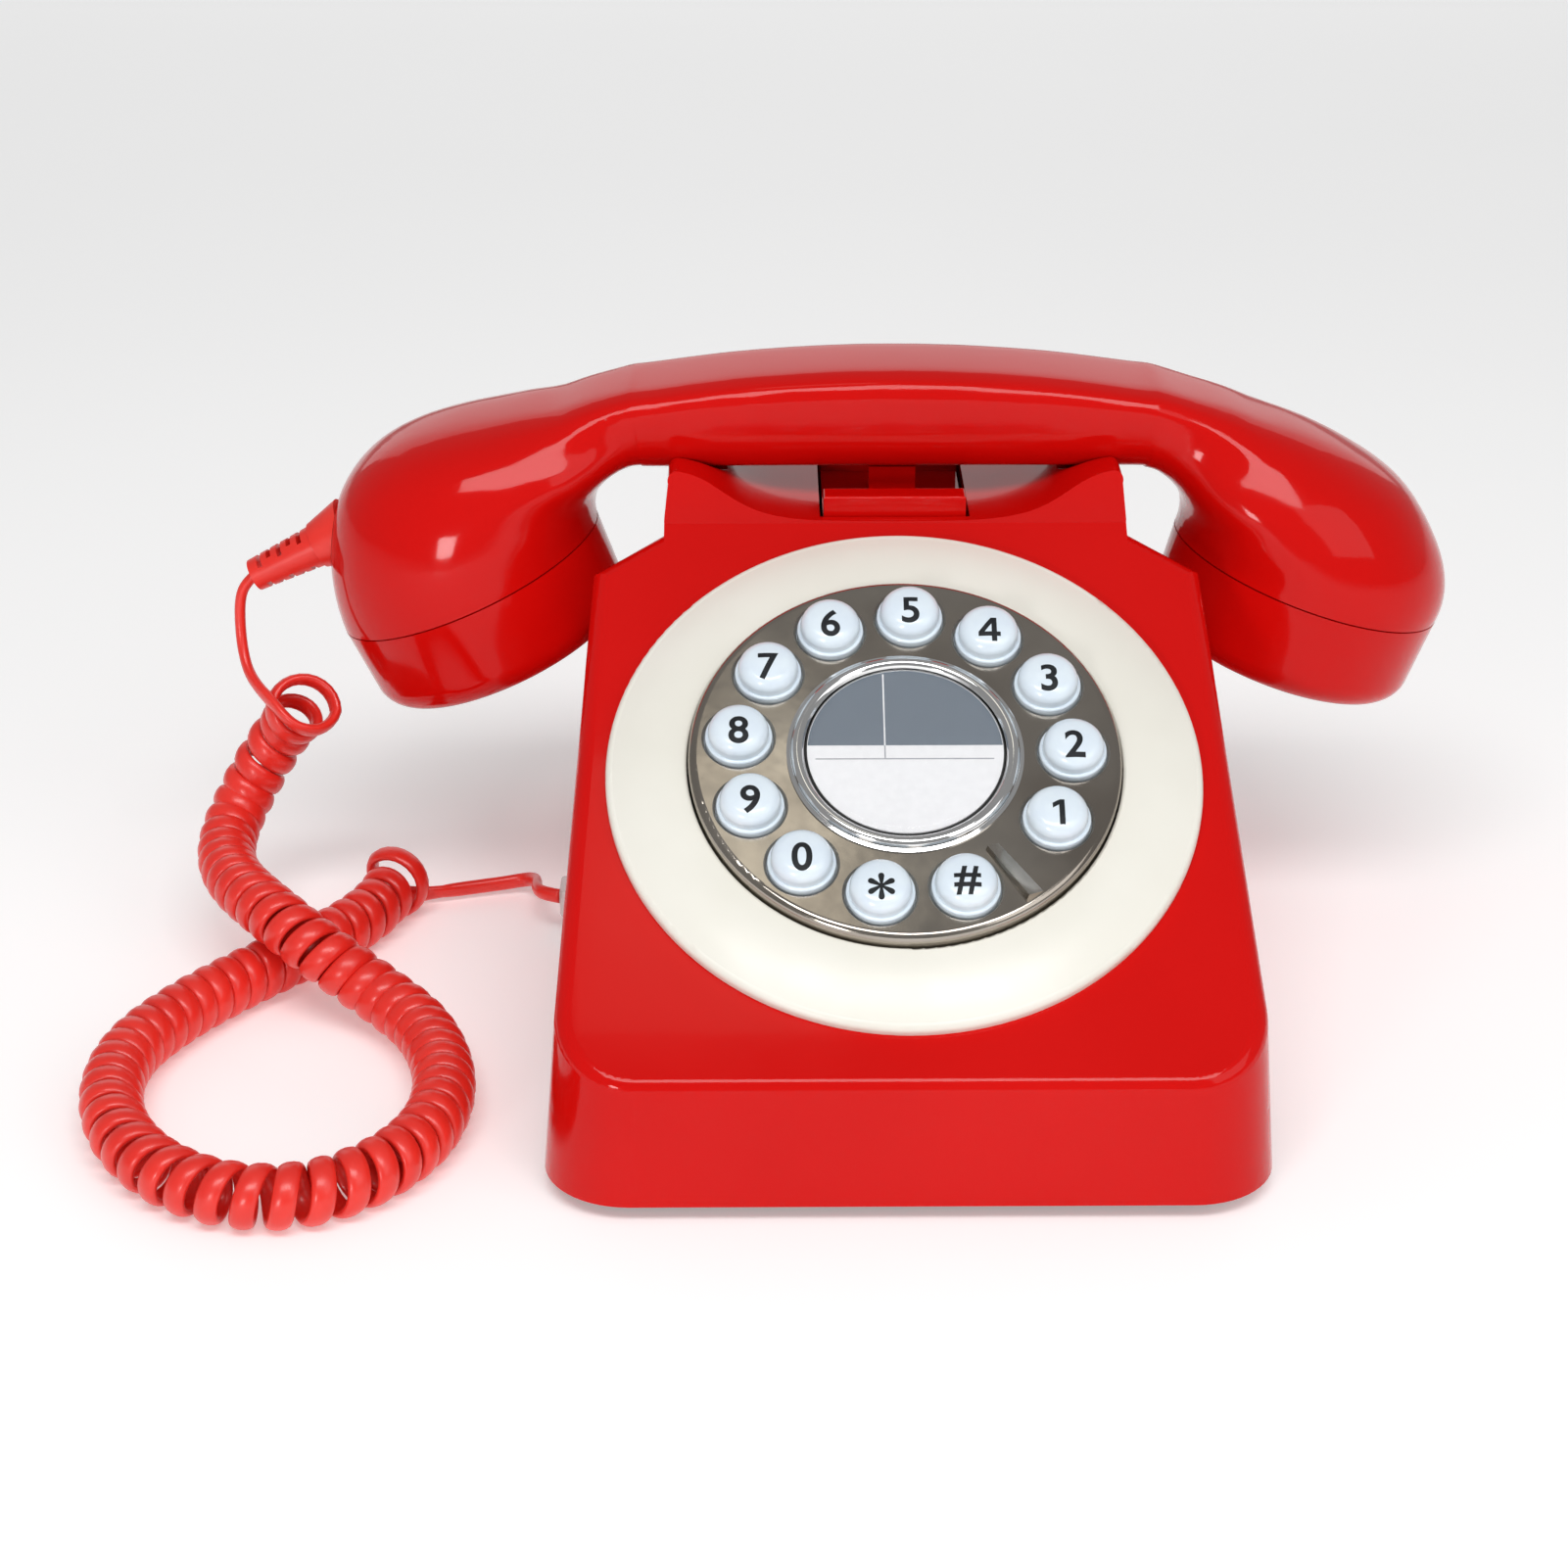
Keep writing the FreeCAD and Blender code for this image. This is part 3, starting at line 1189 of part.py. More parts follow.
def cord_gland():
    """Short conical collar on the end of the mouthpiece cup."""
    radius = 7.4
    cone = Part.makeCone(radius, 5.2, 8.0, Vector(0, 0, -7.4))
    cone.Placement = BOOT_FRAME
    bore = Part.makeCylinder(1.5, 30, Vector(0, 0, -12))
    bore.Placement = BOOT_FRAME
    return cone.cut(bore).cut(handset_solid(-0.02, 0.0))


def cord_boot():
    """Tapered strain relief with staggered slots across it."""
    boot = Part.makeCone(4.7, 3.6, BOOT_LENGTH - 0.6, Vector(0, 0, 0.6))
    for index in range(5):
        height = 2.6 + index * 2.6
        for side in (-1, 1):
            low, high = (1.9, 6.0) if side > 0 else (-6.0, -1.9)
            width = 2.6 if index % 2 else 3.4
            boot = boot.cut(slot((low, high), (-width, width), (height, height + 1.1)))
    boot = boot.cut(Part.makeCylinder(1.45, BOOT_LENGTH + 2, Vector(0, 0, 0)))
    boot.Placement = BOOT_FRAME
    return boot


# ---------------------------------------------------------------- assembly

def build_base():
    node("case_shell", feature("case_shell", case_shell()))
    node("base_plate", feature("base_plate", base_plate()))
    node("rubber_feet", rubber_feet())
    node("base_screws", base_screws())
    node("ballast_plate", ballast_plate())
    node("main_board", main_board())
    node("board_parts", board_parts())
    node("board_screws", board_screws())
    node("hook_switch", hook_switch())
    node("hook_springs", feature("hook_springs", hook_springs()))
    node("hook_yoke", feature("hook_yoke", hook_yoke()))
    node("ringer_speaker", ringer_speaker())
    node("ringer_switch", feature("ringer_switch", ringer_switch()))
    node("ringer_slider", feature("ringer_slider", ringer_slider()))
    node("line_jack", feature("line_jack", line_jack()))
    node("handset_jack", feature("handset_jack", handset_jack()))
    node("ribbon_cable", feature("ribbon_cable", ribbon_cable()))


def build_dial():
    node("dial_bezel", feature("dial_bezel", dial_bezel()), DIAL)
    node("dial_plate", feature("dial_plate", dial_plate()), DIAL)
    node("centre_ring", feature("centre_ring", centre_ring()), DIAL)
    node("finger_stop", feature("finger_stop", finger_stop()), DIAL)
    keys()
    node("redial_button", redial_button(), DIAL)
    label = disc("label_solid", "ring_bore - 0.6", "plate_top + 0.6", "plate_top + 0.9")
    node("label_disc", group("label_group", label), DIAL)
    node("label_window", feature("label_window", label_window()), DIAL)
    node("key_carrier", key_carrier(), DIAL)
    node("key_mat", key_mat(), DIAL)
    node("keypad_board", keypad_board(), DIAL)
    node("dial_screws", dial_screws(), DIAL)
    node("clamp_ring", feature("clamp_ring", clamp_ring()), DIAL)
    node("clamp_screws", clamp_screws(), DIAL)


def build_handset():
    node("handset_shell", feature("handset_shell", handset_shell()))
    node("mouthpiece_cap", feature("mouthpiece_cap", cap(-1, ((6.0, 6),))), cup_frame(-1))
    node("earpiece_cap", feature("earpiece_cap", cap(1, ((5.0, 6), (10.0, 12)))), cup_frame(1))
    face = dim("cap_depth") - 1.1 - dim("handset_wall")
    microphone = primitive("Cylinder", "microphone_solid", Radius="9", Height="6")
    microphone_group = group("microphone_group", microphone)
    inward = Placement(Vector(0, 0, face - 6), Rotation())
    node("microphone_capsule", microphone_group, cup_frame(-1).multiply(inward))
    receiver = primitive("Cylinder", "receiver_solid", Radius="17", Height="8")
    receiver_group = group("receiver_group", receiver)
    inward = Placement(Vector(0, 0, face - 8), Rotation())
    node("receiver_capsule", receiver_group, cup_frame(1).multiply(inward))
    y = "handset_y"
    weight = block("weight_solid", ("-32", "32"), (y + " - 7", y + " + 7"), ("handle_bottom + 4", "handle_bottom + 12"))
    node("handset_weight", weight)
    node("handset_wires", feature("handset_wires", handset_wires()))


def build_cord():
    node("cord_gland", feature("cord_gland", cord_gland()))
    node("cord_boot", feature("cord_boot", cord_boot()))
    node("cord_lead", feature("cord_lead", tube(route(LEAD_ROUTE), dim("strand_radius"))))
    node("cord_coil", feature("cord_coil", tube(route(COIL_ROUTE), dim("coil_radius"))))
    node("cord_tail", feature("cord_tail", tube(route(TAIL_ROUTE), dim("strand_radius"))))
    node("cord_plug", feature("cord_plug", cord_plug()))


def check():
    """Stops before anything is written if an object failed or a sub-part has no valid solid."""
    for item in doc.Objects:
        if "Invalid" in item.State or "Error" in item.State:
            raise RuntimeError("%s failed: %s" % (item.Label, item.State))
    for item in NODES:
        shape = item.Shape
        if shape.isNull() or not shape.isValid() or not shape.Solids:
            raise RuntimeError("%s has no valid solid" % item.Label)


def write():
    os.makedirs("parts", exist_ok=True)
    for item in NODES:
        item.Shape.exportStep("parts/%s.step" % item.Label)
        box = item.Shape.BoundBox
        print("%-20s solids %d  x %.1f..%.1f  y %.1f..%.1f  z %.1f..%.1f" % (
            item.Label, len(item.Shape.Solids), box.XMin, box.XMax, box.YMin, box.YMax, box.ZMin, box.ZMax))


build_base()
build_dial()
build_handset()
build_cord()
doc.recompute()
check()
write()
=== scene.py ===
import bmesh
import bpy
import json
import math
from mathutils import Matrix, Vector


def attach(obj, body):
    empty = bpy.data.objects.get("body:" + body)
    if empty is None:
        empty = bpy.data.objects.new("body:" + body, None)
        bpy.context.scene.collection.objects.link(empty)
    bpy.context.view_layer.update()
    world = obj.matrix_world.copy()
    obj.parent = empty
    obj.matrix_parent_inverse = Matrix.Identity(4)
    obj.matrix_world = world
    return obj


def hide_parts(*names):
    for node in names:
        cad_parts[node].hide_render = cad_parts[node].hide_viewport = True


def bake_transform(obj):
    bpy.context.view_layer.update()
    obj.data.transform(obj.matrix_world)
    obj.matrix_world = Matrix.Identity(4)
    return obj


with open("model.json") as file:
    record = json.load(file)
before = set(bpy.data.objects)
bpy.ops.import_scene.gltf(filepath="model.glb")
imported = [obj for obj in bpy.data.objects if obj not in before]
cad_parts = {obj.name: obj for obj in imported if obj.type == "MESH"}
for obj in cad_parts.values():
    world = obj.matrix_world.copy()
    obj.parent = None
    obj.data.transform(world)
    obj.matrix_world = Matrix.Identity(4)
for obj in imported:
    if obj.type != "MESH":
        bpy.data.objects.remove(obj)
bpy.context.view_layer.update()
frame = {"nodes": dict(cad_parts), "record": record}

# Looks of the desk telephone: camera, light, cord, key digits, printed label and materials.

MM = 0.001
RECORD = frame["record"]
FLOOR_REACH = 4.0
NOISE_LOW = 0.35
NOISE_HIGH = 0.65


# ---------------------------------------------------------------- camera and light

def add_camera():
    data = bpy.data.cameras.new("camera")
    data.lens = 71.22
    data.sensor_width = 36.0
    data.clip_start = 0.01
    camera = bpy.data.objects.new("camera", data)
    camera.location = (-0.02832, -0.60486, 0.32024)
    camera.rotation_euler = (math.radians(65.460), 0.0, math.radians(-0.458))
    bpy.context.collection.objects.link(camera)
    bpy.context.scene.camera = camera


def add_area(name, place, target, width, height, power, colour=(1, 1, 1)):
    data = bpy.data.lights.new(name, "AREA")
    data.shape = "RECTANGLE"
    data.size = width
    data.size_y = height
    data.energy = power
    data.color = colour
    lamp = bpy.data.objects.new(name, data)
    lamp.location = place
    aim = Vector(target) - Vector(place)
    lamp.rotation_euler = aim.to_track_quat("-Z", "Y").to_euler()
    bpy.context.collection.objects.link(lamp)


def add_light():
    middle = (0.0, 0.0, 0.07)
    add_area("front_high", (0.0, -0.68, 1.08), middle, 1.00, 0.34, 8.0)
    add_area("window_left", (-0.52, -1.12, 0.22), middle, 0.20, 0.22, 2.6)
    add_area("right_fill", (0.95, -0.90, 0.80), middle, 0.90, 0.90, 3.5)
    add_area("back_wall", (0.0, 1.60, 0.70), middle, 2.40, 1.00, 5.0)
    over_plate = (-0.05, -0.065)
    add_area("plate_card", (*over_plate, 0.90), (*over_plate, 0.0), 0.13, 0.13, 0.06, colour=(1.0, 0.95, 0.80))
    world = bpy.data.worlds.new("studio")
    world.use_nodes = True
    tree = world.node_tree
    background = tree.nodes["Background"]
    background.inputs["Color"].default_value = (1.0, 1.0, 1.0, 1.0)
    path = tree.nodes.new("ShaderNodeLightPath")
    strength = tree.nodes.new("ShaderNodeMapRange")
    strength.inputs["To Min"].default_value = 0.30
    strength.inputs["To Max"].default_value = 1.0
    tree.links.new(path.outputs["Is Camera Ray"], strength.inputs["Value"])
    tree.links.new(strength.outputs["Result"], background.inputs["Strength"])
    bpy.context.scene.world = world
    bpy.context.scene.view_settings.view_transform = "Standard"


def add_floor():
    mesh = bpy.data.meshes.new("floor")
    corners = [(-FLOOR_REACH, -FLOOR_REACH, 0), (FLOOR_REACH, -FLOOR_REACH, 0),
               (FLOOR_REACH, FLOOR_REACH, 0), (-FLOOR_REACH, FLOOR_REACH, 0)]
    mesh.from_pydata(corners, [], [(0, 1, 2, 3)])
    floor = bpy.data.objects.new("floor", mesh)
    bpy.context.collection.objects.link(floor)
    mesh.materials.append(MATERIALS["floor"])


# ---------------------------------------------------------------- materials

class Shader:
    """A Principled material whose colour, roughness and bump come from noise in the object's own space."""

    def __init__(self, name, colour, rough, metallic=0.0, coat=0.0, coat_rough=0.03, specular=0.5, sheen=0.0):
        self.material = bpy.data.materials.new(name)
        self.material.use_nodes = True
        self.tree = self.material.node_tree
        self.bsdf = self.tree.nodes["Principled BSDF"]
        self.set("Base Color", (*colour, 1.0))
        self.set("Roughness", rough)
        self.set("Metallic", metallic)
        self.set("Coat Weight", coat)
        self.set("Coat Roughness", coat_rough)
        self.set("Specular IOR Level", specular)
        self.set("Sheen Weight", sheen)
        self.place = self.tree.nodes.new("ShaderNodeTexCoord")

    def set(self, socket, value):
        self.bsdf.inputs[socket].default_value = value

    def link(self, source, target):
        self.tree.links.new(source, target)

    def noise(self, scale, detail):
        node = self.tree.nodes.new("ShaderNodeTexNoise")
        node.inputs["Scale"].default_value = scale
        node.inputs["Detail"].default_value = detail
        self.link(self.place.outputs["Object"], node.inputs["Vector"])
        return node.outputs["Fac"]

    def ramp(self, source, low, high):
        node = self.tree.nodes.new("ShaderNodeMapRange")
        node.inputs["From Min"].default_value = NOISE_LOW
        node.inputs["From Max"].default_value = NOISE_HIGH
        node.inputs["To Min"].default_value = low
        node.inputs["To Max"].default_value = high
        self.link(source, node.inputs["Value"])
        return node.outputs["Result"]

    def vary_colour(self, scale, darker, lighter):
        """Slow change of colour between two shades."""
        node = self.tree.nodes.new("ShaderNodeValToRGB")
        node.color_ramp.elements[0].position = NOISE_LOW
        node.color_ramp.elements[0].color = (*darker, 1.0)
        node.color_ramp.elements[1].position = NOISE_HIGH
        node.color_ramp.elements[1].color = (*lighter, 1.0)
        self.link(self.noise(scale, 3.0), node.inputs["Fac"])
        self.link(node.outputs["Color"], self.bsdf.inputs["Base Color"])
        return self

    def vary_rough(self, scale, low, high):
        """Slow change of roughness between two values."""
        self.link(self.ramp(self.noise(scale, 4.0), low, high), self.bsdf.inputs["Roughness"])
        return self

    def grain(self, scale, strength, distance):
        """Fine bump of the moulded or rolled surface."""
        node = self.tree.nodes.new("ShaderNodeBump")
        node.inputs["Strength"].default_value = strength
        node.inputs["Distance"].default_value = distance
        self.link(self.noise(scale, 2.0), node.inputs["Height"])
        self.link(node.outputs["Normal"], self.bsdf.inputs["Normal"])
        return self


def make_materials():
    made = {}

    def keep(name, shader):
        made[name] = shader.material
        return shader

    red = keep("red_gloss", Shader("red_gloss", (0.60, 0.003, 0.002), 0.11, coat=0.14, specular=0.14))
    red.vary_colour(14, (0.58, 0.0025, 0.0015), (0.62, 0.004, 0.003)).vary_rough(60, 0.085, 0.13)
    red.grain(420, 0.04, 0.0002)
    cord = keep("cord_red", Shader("cord_red", (0.80, 0.028, 0.018), 0.32, coat=0.15, coat_rough=0.2))
    cord.vary_colour(90, (0.76, 0.024, 0.015), (0.83, 0.033, 0.021)).vary_rough(260, 0.28, 0.38)
    cord.grain(1800, 0.10, 0.0001)
    cream = keep("cream_satin", Shader("cream_satin", (0.83, 0.81, 0.73), 0.34, coat=0.1, coat_rough=0.15))
    cream.vary_colour(30, (0.81, 0.79, 0.71), (0.85, 0.83, 0.755)).vary_rough(140, 0.30, 0.40)
    cream.grain(900, 0.06, 0.0001)
    plate = keep("dark_chrome", Shader("dark_chrome", (0.33, 0.30, 0.27), 0.13, metallic=1.0))
    plate.vary_colour(26, (0.33, 0.29, 0.25), (0.46, 0.42, 0.37)).vary_rough(90, 0.10, 0.19)
    plate.grain(160, 0.10, 0.0003)
    bright = keep("bright_chrome", Shader("bright_chrome", (0.80, 0.80, 0.80), 0.07, metallic=1.0))
    bright.vary_rough(200, 0.05, 0.11).grain(500, 0.03, 0.0001)
    key = keep("key_white", Shader("key_white", (0.74, 0.83, 0.91), 0.20, coat=0.4, coat_rough=0.04))
    key.vary_colour(220, (0.72, 0.81, 0.90), (0.76, 0.85, 0.92)).vary_rough(500, 0.17, 0.24)
    key.grain(1500, 0.04, 0.0001)
    card = keep("printed_label", Shader("printed_label", (0.86, 0.86, 0.88), 0.45))
    card.vary_colour(600, (0.84, 0.84, 0.86), (0.88, 0.88, 0.90)).grain(4000, 0.06, 0.00005)
    slate = keep("label_slate", Shader("label_slate", (0.07, 0.105, 0.15), 0.45))
    slate.vary_colour(600, (0.066, 0.10, 0.145), (0.074, 0.11, 0.155)).grain(4000, 0.06, 0.00005)
    ink = keep("ink", Shader("ink", (0.014, 0.016, 0.019), 0.5, specular=0.2))
    ink.vary_colour(900, (0.011, 0.013, 0.016), (0.018, 0.020, 0.023)).grain(3000, 0.05, 0.00005)
    rule = keep("label_rule", Shader("label_rule", (0.34, 0.35, 0.38), 0.45))
    rule.vary_colour(900, (0.31, 0.32, 0.35), (0.37, 0.38, 0.41))
    window = keep("clear_window", Shader("clear_window", (0.96, 0.97, 0.98), 0.05))
    window.set("Alpha", 0.12)
    window.vary_rough(300, 0.03, 0.08)
    plug = keep("clear_plug", Shader("clear_plug", (0.80, 0.80, 0.78), 0.12))
    plug.set("Alpha", 0.55)
    plug.vary_rough(300, 0.08, 0.18)
    black = keep("black_plastic", Shader("black_plastic", (0.02, 0.02, 0.02), 0.42))
    black.vary_colour(80, (0.016, 0.016, 0.016), (0.028, 0.028, 0.028)).grain(1400, 0.20, 0.0001)
    rubber = keep("black_rubber", Shader("black_rubber", (0.018, 0.018, 0.018), 0.75, sheen=0.2))
    rubber.vary_rough(120, 0.65, 0.85).grain(1000, 0.35, 0.0002)
    sheet = keep("dark_sheet", Shader("dark_sheet", (0.045, 0.045, 0.045), 0.45))
    sheet.vary_rough(60, 0.38, 0.55).grain(700, 0.25, 0.0002)
    steel = keep("zinc_steel", Shader("zinc_steel", (0.58, 0.58, 0.56), 0.32, metallic=1.0))
    steel.vary_colour(70, (0.50, 0.50, 0.47), (0.64, 0.64, 0.62)).vary_rough(200, 0.25, 0.42)
    spring = keep("spring_steel", Shader("spring_steel", (0.62, 0.62, 0.62), 0.25, metallic=1.0))
    spring.vary_rough(300, 0.20, 0.35)
    speaker = keep("speaker_metal", Shader("speaker_metal", (0.18, 0.18, 0.18), 0.4, metallic=0.6))
    speaker.vary_rough(100, 0.32, 0.50).grain(900, 0.2, 0.0001)
    board = keep("board_green", Shader("board_green", (0.03, 0.16, 0.07), 0.35, coat=0.2))
    board.vary_colour(300, (0.025, 0.14, 0.06), (0.04, 0.19, 0.085)).grain(900, 0.15, 0.0001)
    grey = keep("grey_insulation", Shader("grey_insulation", (0.42, 0.42, 0.43), 0.5))
    grey.vary_colour(200, (0.38, 0.38, 0.39), (0.46, 0.46, 0.47)).grain(900, 0.1, 0.0001)
    silicone = keep("grey_silicone", Shader("grey_silicone", (0.30, 0.30, 0.31), 0.6))
    silicone.vary_rough(150, 0.5, 0.7).grain(1200, 0.1, 0.0001)
    floor = keep("floor", Shader("floor", (0.90, 0.90, 0.90), 0.9, specular=0.1))
    floor.set("Emission Color", (1.0, 1.0, 1.0, 1.0))
    floor.set("Emission Strength", 0.26)
    floor.vary_colour(3, (0.895, 0.895, 0.895), (0.905, 0.905, 0.905))
    return made


def paint_nodes():
    """Every CAD node gets the made material of its record slot."""
    slots = {part["node"]: part["material_slot"] for part in RECORD["subparts"]}
    for name, node in frame["nodes"].items():
        material = MATERIALS[slots[name]]
        if not node.material_slots:
            node.data.materials.append(material)
        for slot in node.material_slots:
            slot.material = material


# ---------------------------------------------------------------- the dial's frame

SLOPE = math.radians(31.66)
ACROSS = Vector((1, 0, 0))
UP_SLOPE = Vector((0, math.cos(SLOPE), math.sin(SLOPE)))
NORMAL = Vector((0, -math.sin(SLOPE), math.cos(SLOPE)))
LIP = Vector((0, -102.5, 29.1))
DIAL_MIDDLE = LIP + UP_SLOPE * 69.8
PLATE_TOP = 7.6


def on_dial(u, v, height):
    """A point of the dial's frame, in millimetres, as a place in metres."""
    return (DIAL_MIDDLE + ACROSS * u + UP_SLOPE * v + NORMAL * height) * MM


def new_piece(name, points, faces, material, body, smooth=True):
    mesh = bpy.data.meshes.new(name)
    mesh.from_pydata(points, [], faces)
    mesh.materials.append(MATERIALS[material])
    for polygon in mesh.polygons:
        polygon.use_smooth = smooth
    mesh.update()
    piece = bpy.data.objects.new(name, mesh)
    bpy.context.collection.objects.link(piece)
    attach(piece, body)
    return piece


# ---------------------------------------------------------------- key digits

KEY_RING = 33.0
FIRST_KEY = -28.607
KEY_STEP = 28.877
KEY_TOP = 12.6
DOME_RADIUS = 17.78
DIGIT_SIZE = 8.3
STAR_GROWTH = 1.45
STROKE_GROWTH = 0.17
LONGEST_EDGE = 0.7
DIGIT_DROP = 1.3
INK_LIFT = 0.035
KEYS = (("key_1", "1"), ("key_2", "2"), ("key_3", "3"), ("key_4", "4"), ("key_5", "5"), ("key_6", "6"),
        ("key_7", "7"), ("key_8", "8"), ("key_9", "9"), ("key_0", "0"), ("key_star", "*"), ("key_hash", "#"))


OWN_GLYPHS = {
    "1": (
        ((-0.12, -2.75), (0.98, -2.75), (0.98, 2.75), (0.10, 2.75), (-1.35, 1.95), (-1.35, 0.80), (-0.12, 1.50)),
        ((0, 1, 2, 6), (2, 3, 4, 5, 6)),
    ),
    "4": (
        ((0.40, -2.75), (1.45, -2.75), (1.45, -1.60), (2.20, -1.60), (2.20, -0.62), (1.45, -0.62), (1.45, 2.75),
         (0.30, 2.75), (-2.25, -0.62), (-2.25, -1.60), (0.40, -1.60), (0.40, -0.62), (0.40, 1.30), (-1.00, -0.62)),
        ((0, 1, 2, 10), (2, 3, 4, 5), (10, 2, 5, 11), (11, 5, 6, 12), (12, 6, 7), (7, 8, 13, 12), (8, 9, 10, 11, 13)),
    ),
}


def text_mesh(text, size):
    """A flat mesh of one character in the built-in type."""
    curve = bpy.data.curves.new("glyph", "FONT")
    curve.body = text
    curve.size = size
    curve.offset = STROKE_GROWTH
    holder = bpy.data.objects.new("glyph", curve)
    bpy.context.collection.objects.link(holder)
    bpy.context.view_layer.update()
    mesh = bpy.data.meshes.new_from_object(holder.evaluated_get(bpy.context.evaluated_depsgraph_get()))
    bpy.data.objects.remove(holder)
    return mesh


def glyph_mesh(text, size):
    """Points and faces of one character, centred on its own outline and cut fine enough to bend."""
    if text in OWN_GLYPHS:
        corners, faces = OWN_GLYPHS[text]
        mesh = bpy.data.meshes.new("glyph")
        mesh.from_pydata([(x, y, 0.0) for x, y in corners], [], faces)
    else:
        mesh = text_mesh(text, size)
    cut = bmesh.new()
    cut.from_mesh(mesh)
    bmesh.ops.remove_doubles(cut, verts=cut.verts, dist=0.001)
    bmesh.ops.triangulate(cut, faces=cut.faces)
    for _ in range(4):
        long_edges = [edge for edge in cut.edges if edge.calc_length() > LONGEST_EDGE]
        if not long_edges:
            break
        bmesh.ops.subdivide_edges(cut, edges=long_edges, cuts=1)
        bmesh.ops.triangulate(cut, faces=cut.faces)
    cut.to_mesh(mesh)
    cut.free()
    xs = [vertex.co.x for vertex in mesh.vertices]
    ys = [vertex.co.y for vertex in mesh.vertices]
    middle = Vector(((min(xs) + max(xs)) / 2, (min(ys) + max(ys)) / 2, 0))
    points = [vertex.co - middle for vertex in mesh.vertices]
    faces = [tuple(polygon.vertices) for polygon in mesh.polygons]
    return points, faces


def add_digits():
    for index, (key, text) in enumerate(KEYS):
        turn = math.radians(FIRST_KEY + index * KEY_STEP)
        u = math.cos(turn) * KEY_RING
        v = math.sin(turn) * KEY_RING
        size = DIGIT_SIZE * (STAR_GROWTH if text == "*" else 1.0)
        flat, faces = glyph_mesh(text, size)
        points = []
        for point in flat:
            low = point.y - DIGIT_DROP
            drop = (point.x**2 + low**2) / (2 * DOME_RADIUS)
            points.append(on_dial(u + point.x, v + low, KEY_TOP - drop + INK_LIFT))
        new_piece("digit_" + key[4:], points, faces, "ink", key + "_body", smooth=False)


# ---------------------------------------------------------------- printed label and its window

LABEL_FACE = PLATE_TOP + 0.9
LABEL_RADIUS = 19.3
WINDOW_RADIUS = 19.35
WINDOW_TOP = LABEL_FACE + 1.08
WINDOW_CROWN = 0.58
WINDOW_FOOT = LABEL_FACE + 0.06


def disc_slice(low, high, radius, height, steps=48):
    """Outline of the part of a disc between two heights up the slope."""
    points = []
    start = math.asin(max(-1, min(1, low / radius)))
    end = math.asin(max(-1, min(1, high / radius)))
    for step in range(steps + 1):
        turn = start + (end - start) * step / steps
        points.append(on_dial(radius * math.cos(turn), radius * math.sin(turn), height))
    for step in range(steps + 1):
        turn = end + (start - end) * step / steps
        points.append(on_dial(-radius * math.cos(turn), radius * math.sin(turn), height))
    return points, [tuple(range(len(points)))]


def strip(u0, u1, v0, v1, height):
    corners = [on_dial(u, v, height) for u, v in ((u0, v0), (u1, v0), (u1, v1), (u0, v1))]
    return corners, [(0, 1, 2, 3)]


def add_label():
    points, faces = disc_slice(1.2, LABEL_RADIUS - 0.05, LABEL_RADIUS - 0.05, LABEL_FACE + 0.02)
    new_piece("label_slate", points, faces, "label_slate", "redial", smooth=False)
    points, faces = strip(-17.7, 17.4, -2.15, -1.85, LABEL_FACE + 0.02)
    new_piece("label_rule", points, faces, "label_rule", "redial", smooth=False)
    points, faces = strip(-4.15, -3.85, 1.2, 18.4, LABEL_FACE + 0.03)
    new_piece("label_divider", points, faces, "printed_label", "redial", smooth=False)
    points, faces = strip(-4.15, -3.85, -1.85, 1.2, LABEL_FACE + 0.03)
    new_piece("label_tick", points, faces, "label_rule", "redial", smooth=False)


def add_window():
    """Thin clear dome over the label, in place of the CAD's solid cover."""
    rings = 14
    around = 72
    points = [on_dial(0, 0, WINDOW_TOP)]
    faces = []
    for ring in range(1, rings + 1):
        radius = WINDOW_RADIUS * ring / rings
        height = WINDOW_TOP - WINDOW_CROWN * (radius / WINDOW_RADIUS) ** 2
        for step in range(around):
            turn = 2 * math.pi * step / around
            points.append(on_dial(radius * math.cos(turn), radius * math.sin(turn), height))
    for step in range(around):
        turn = 2 * math.pi * step / around
        points.append(on_dial(WINDOW_RADIUS * math.cos(turn), WINDOW_RADIUS * math.sin(turn), WINDOW_FOOT))
    for step in range(around):
        after = (step + 1) % around
        faces.append((0, 1 + step, 1 + after))
        for ring in range(rings):
            a = 1 + ring * around
            b = a + around
            faces.append((a + step, b + step, b + after, a + after))
    piece = new_piece("window_dome", points, faces, "clear_window", "redial")
    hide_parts("label_window")


# ---------------------------------------------------------------- cord

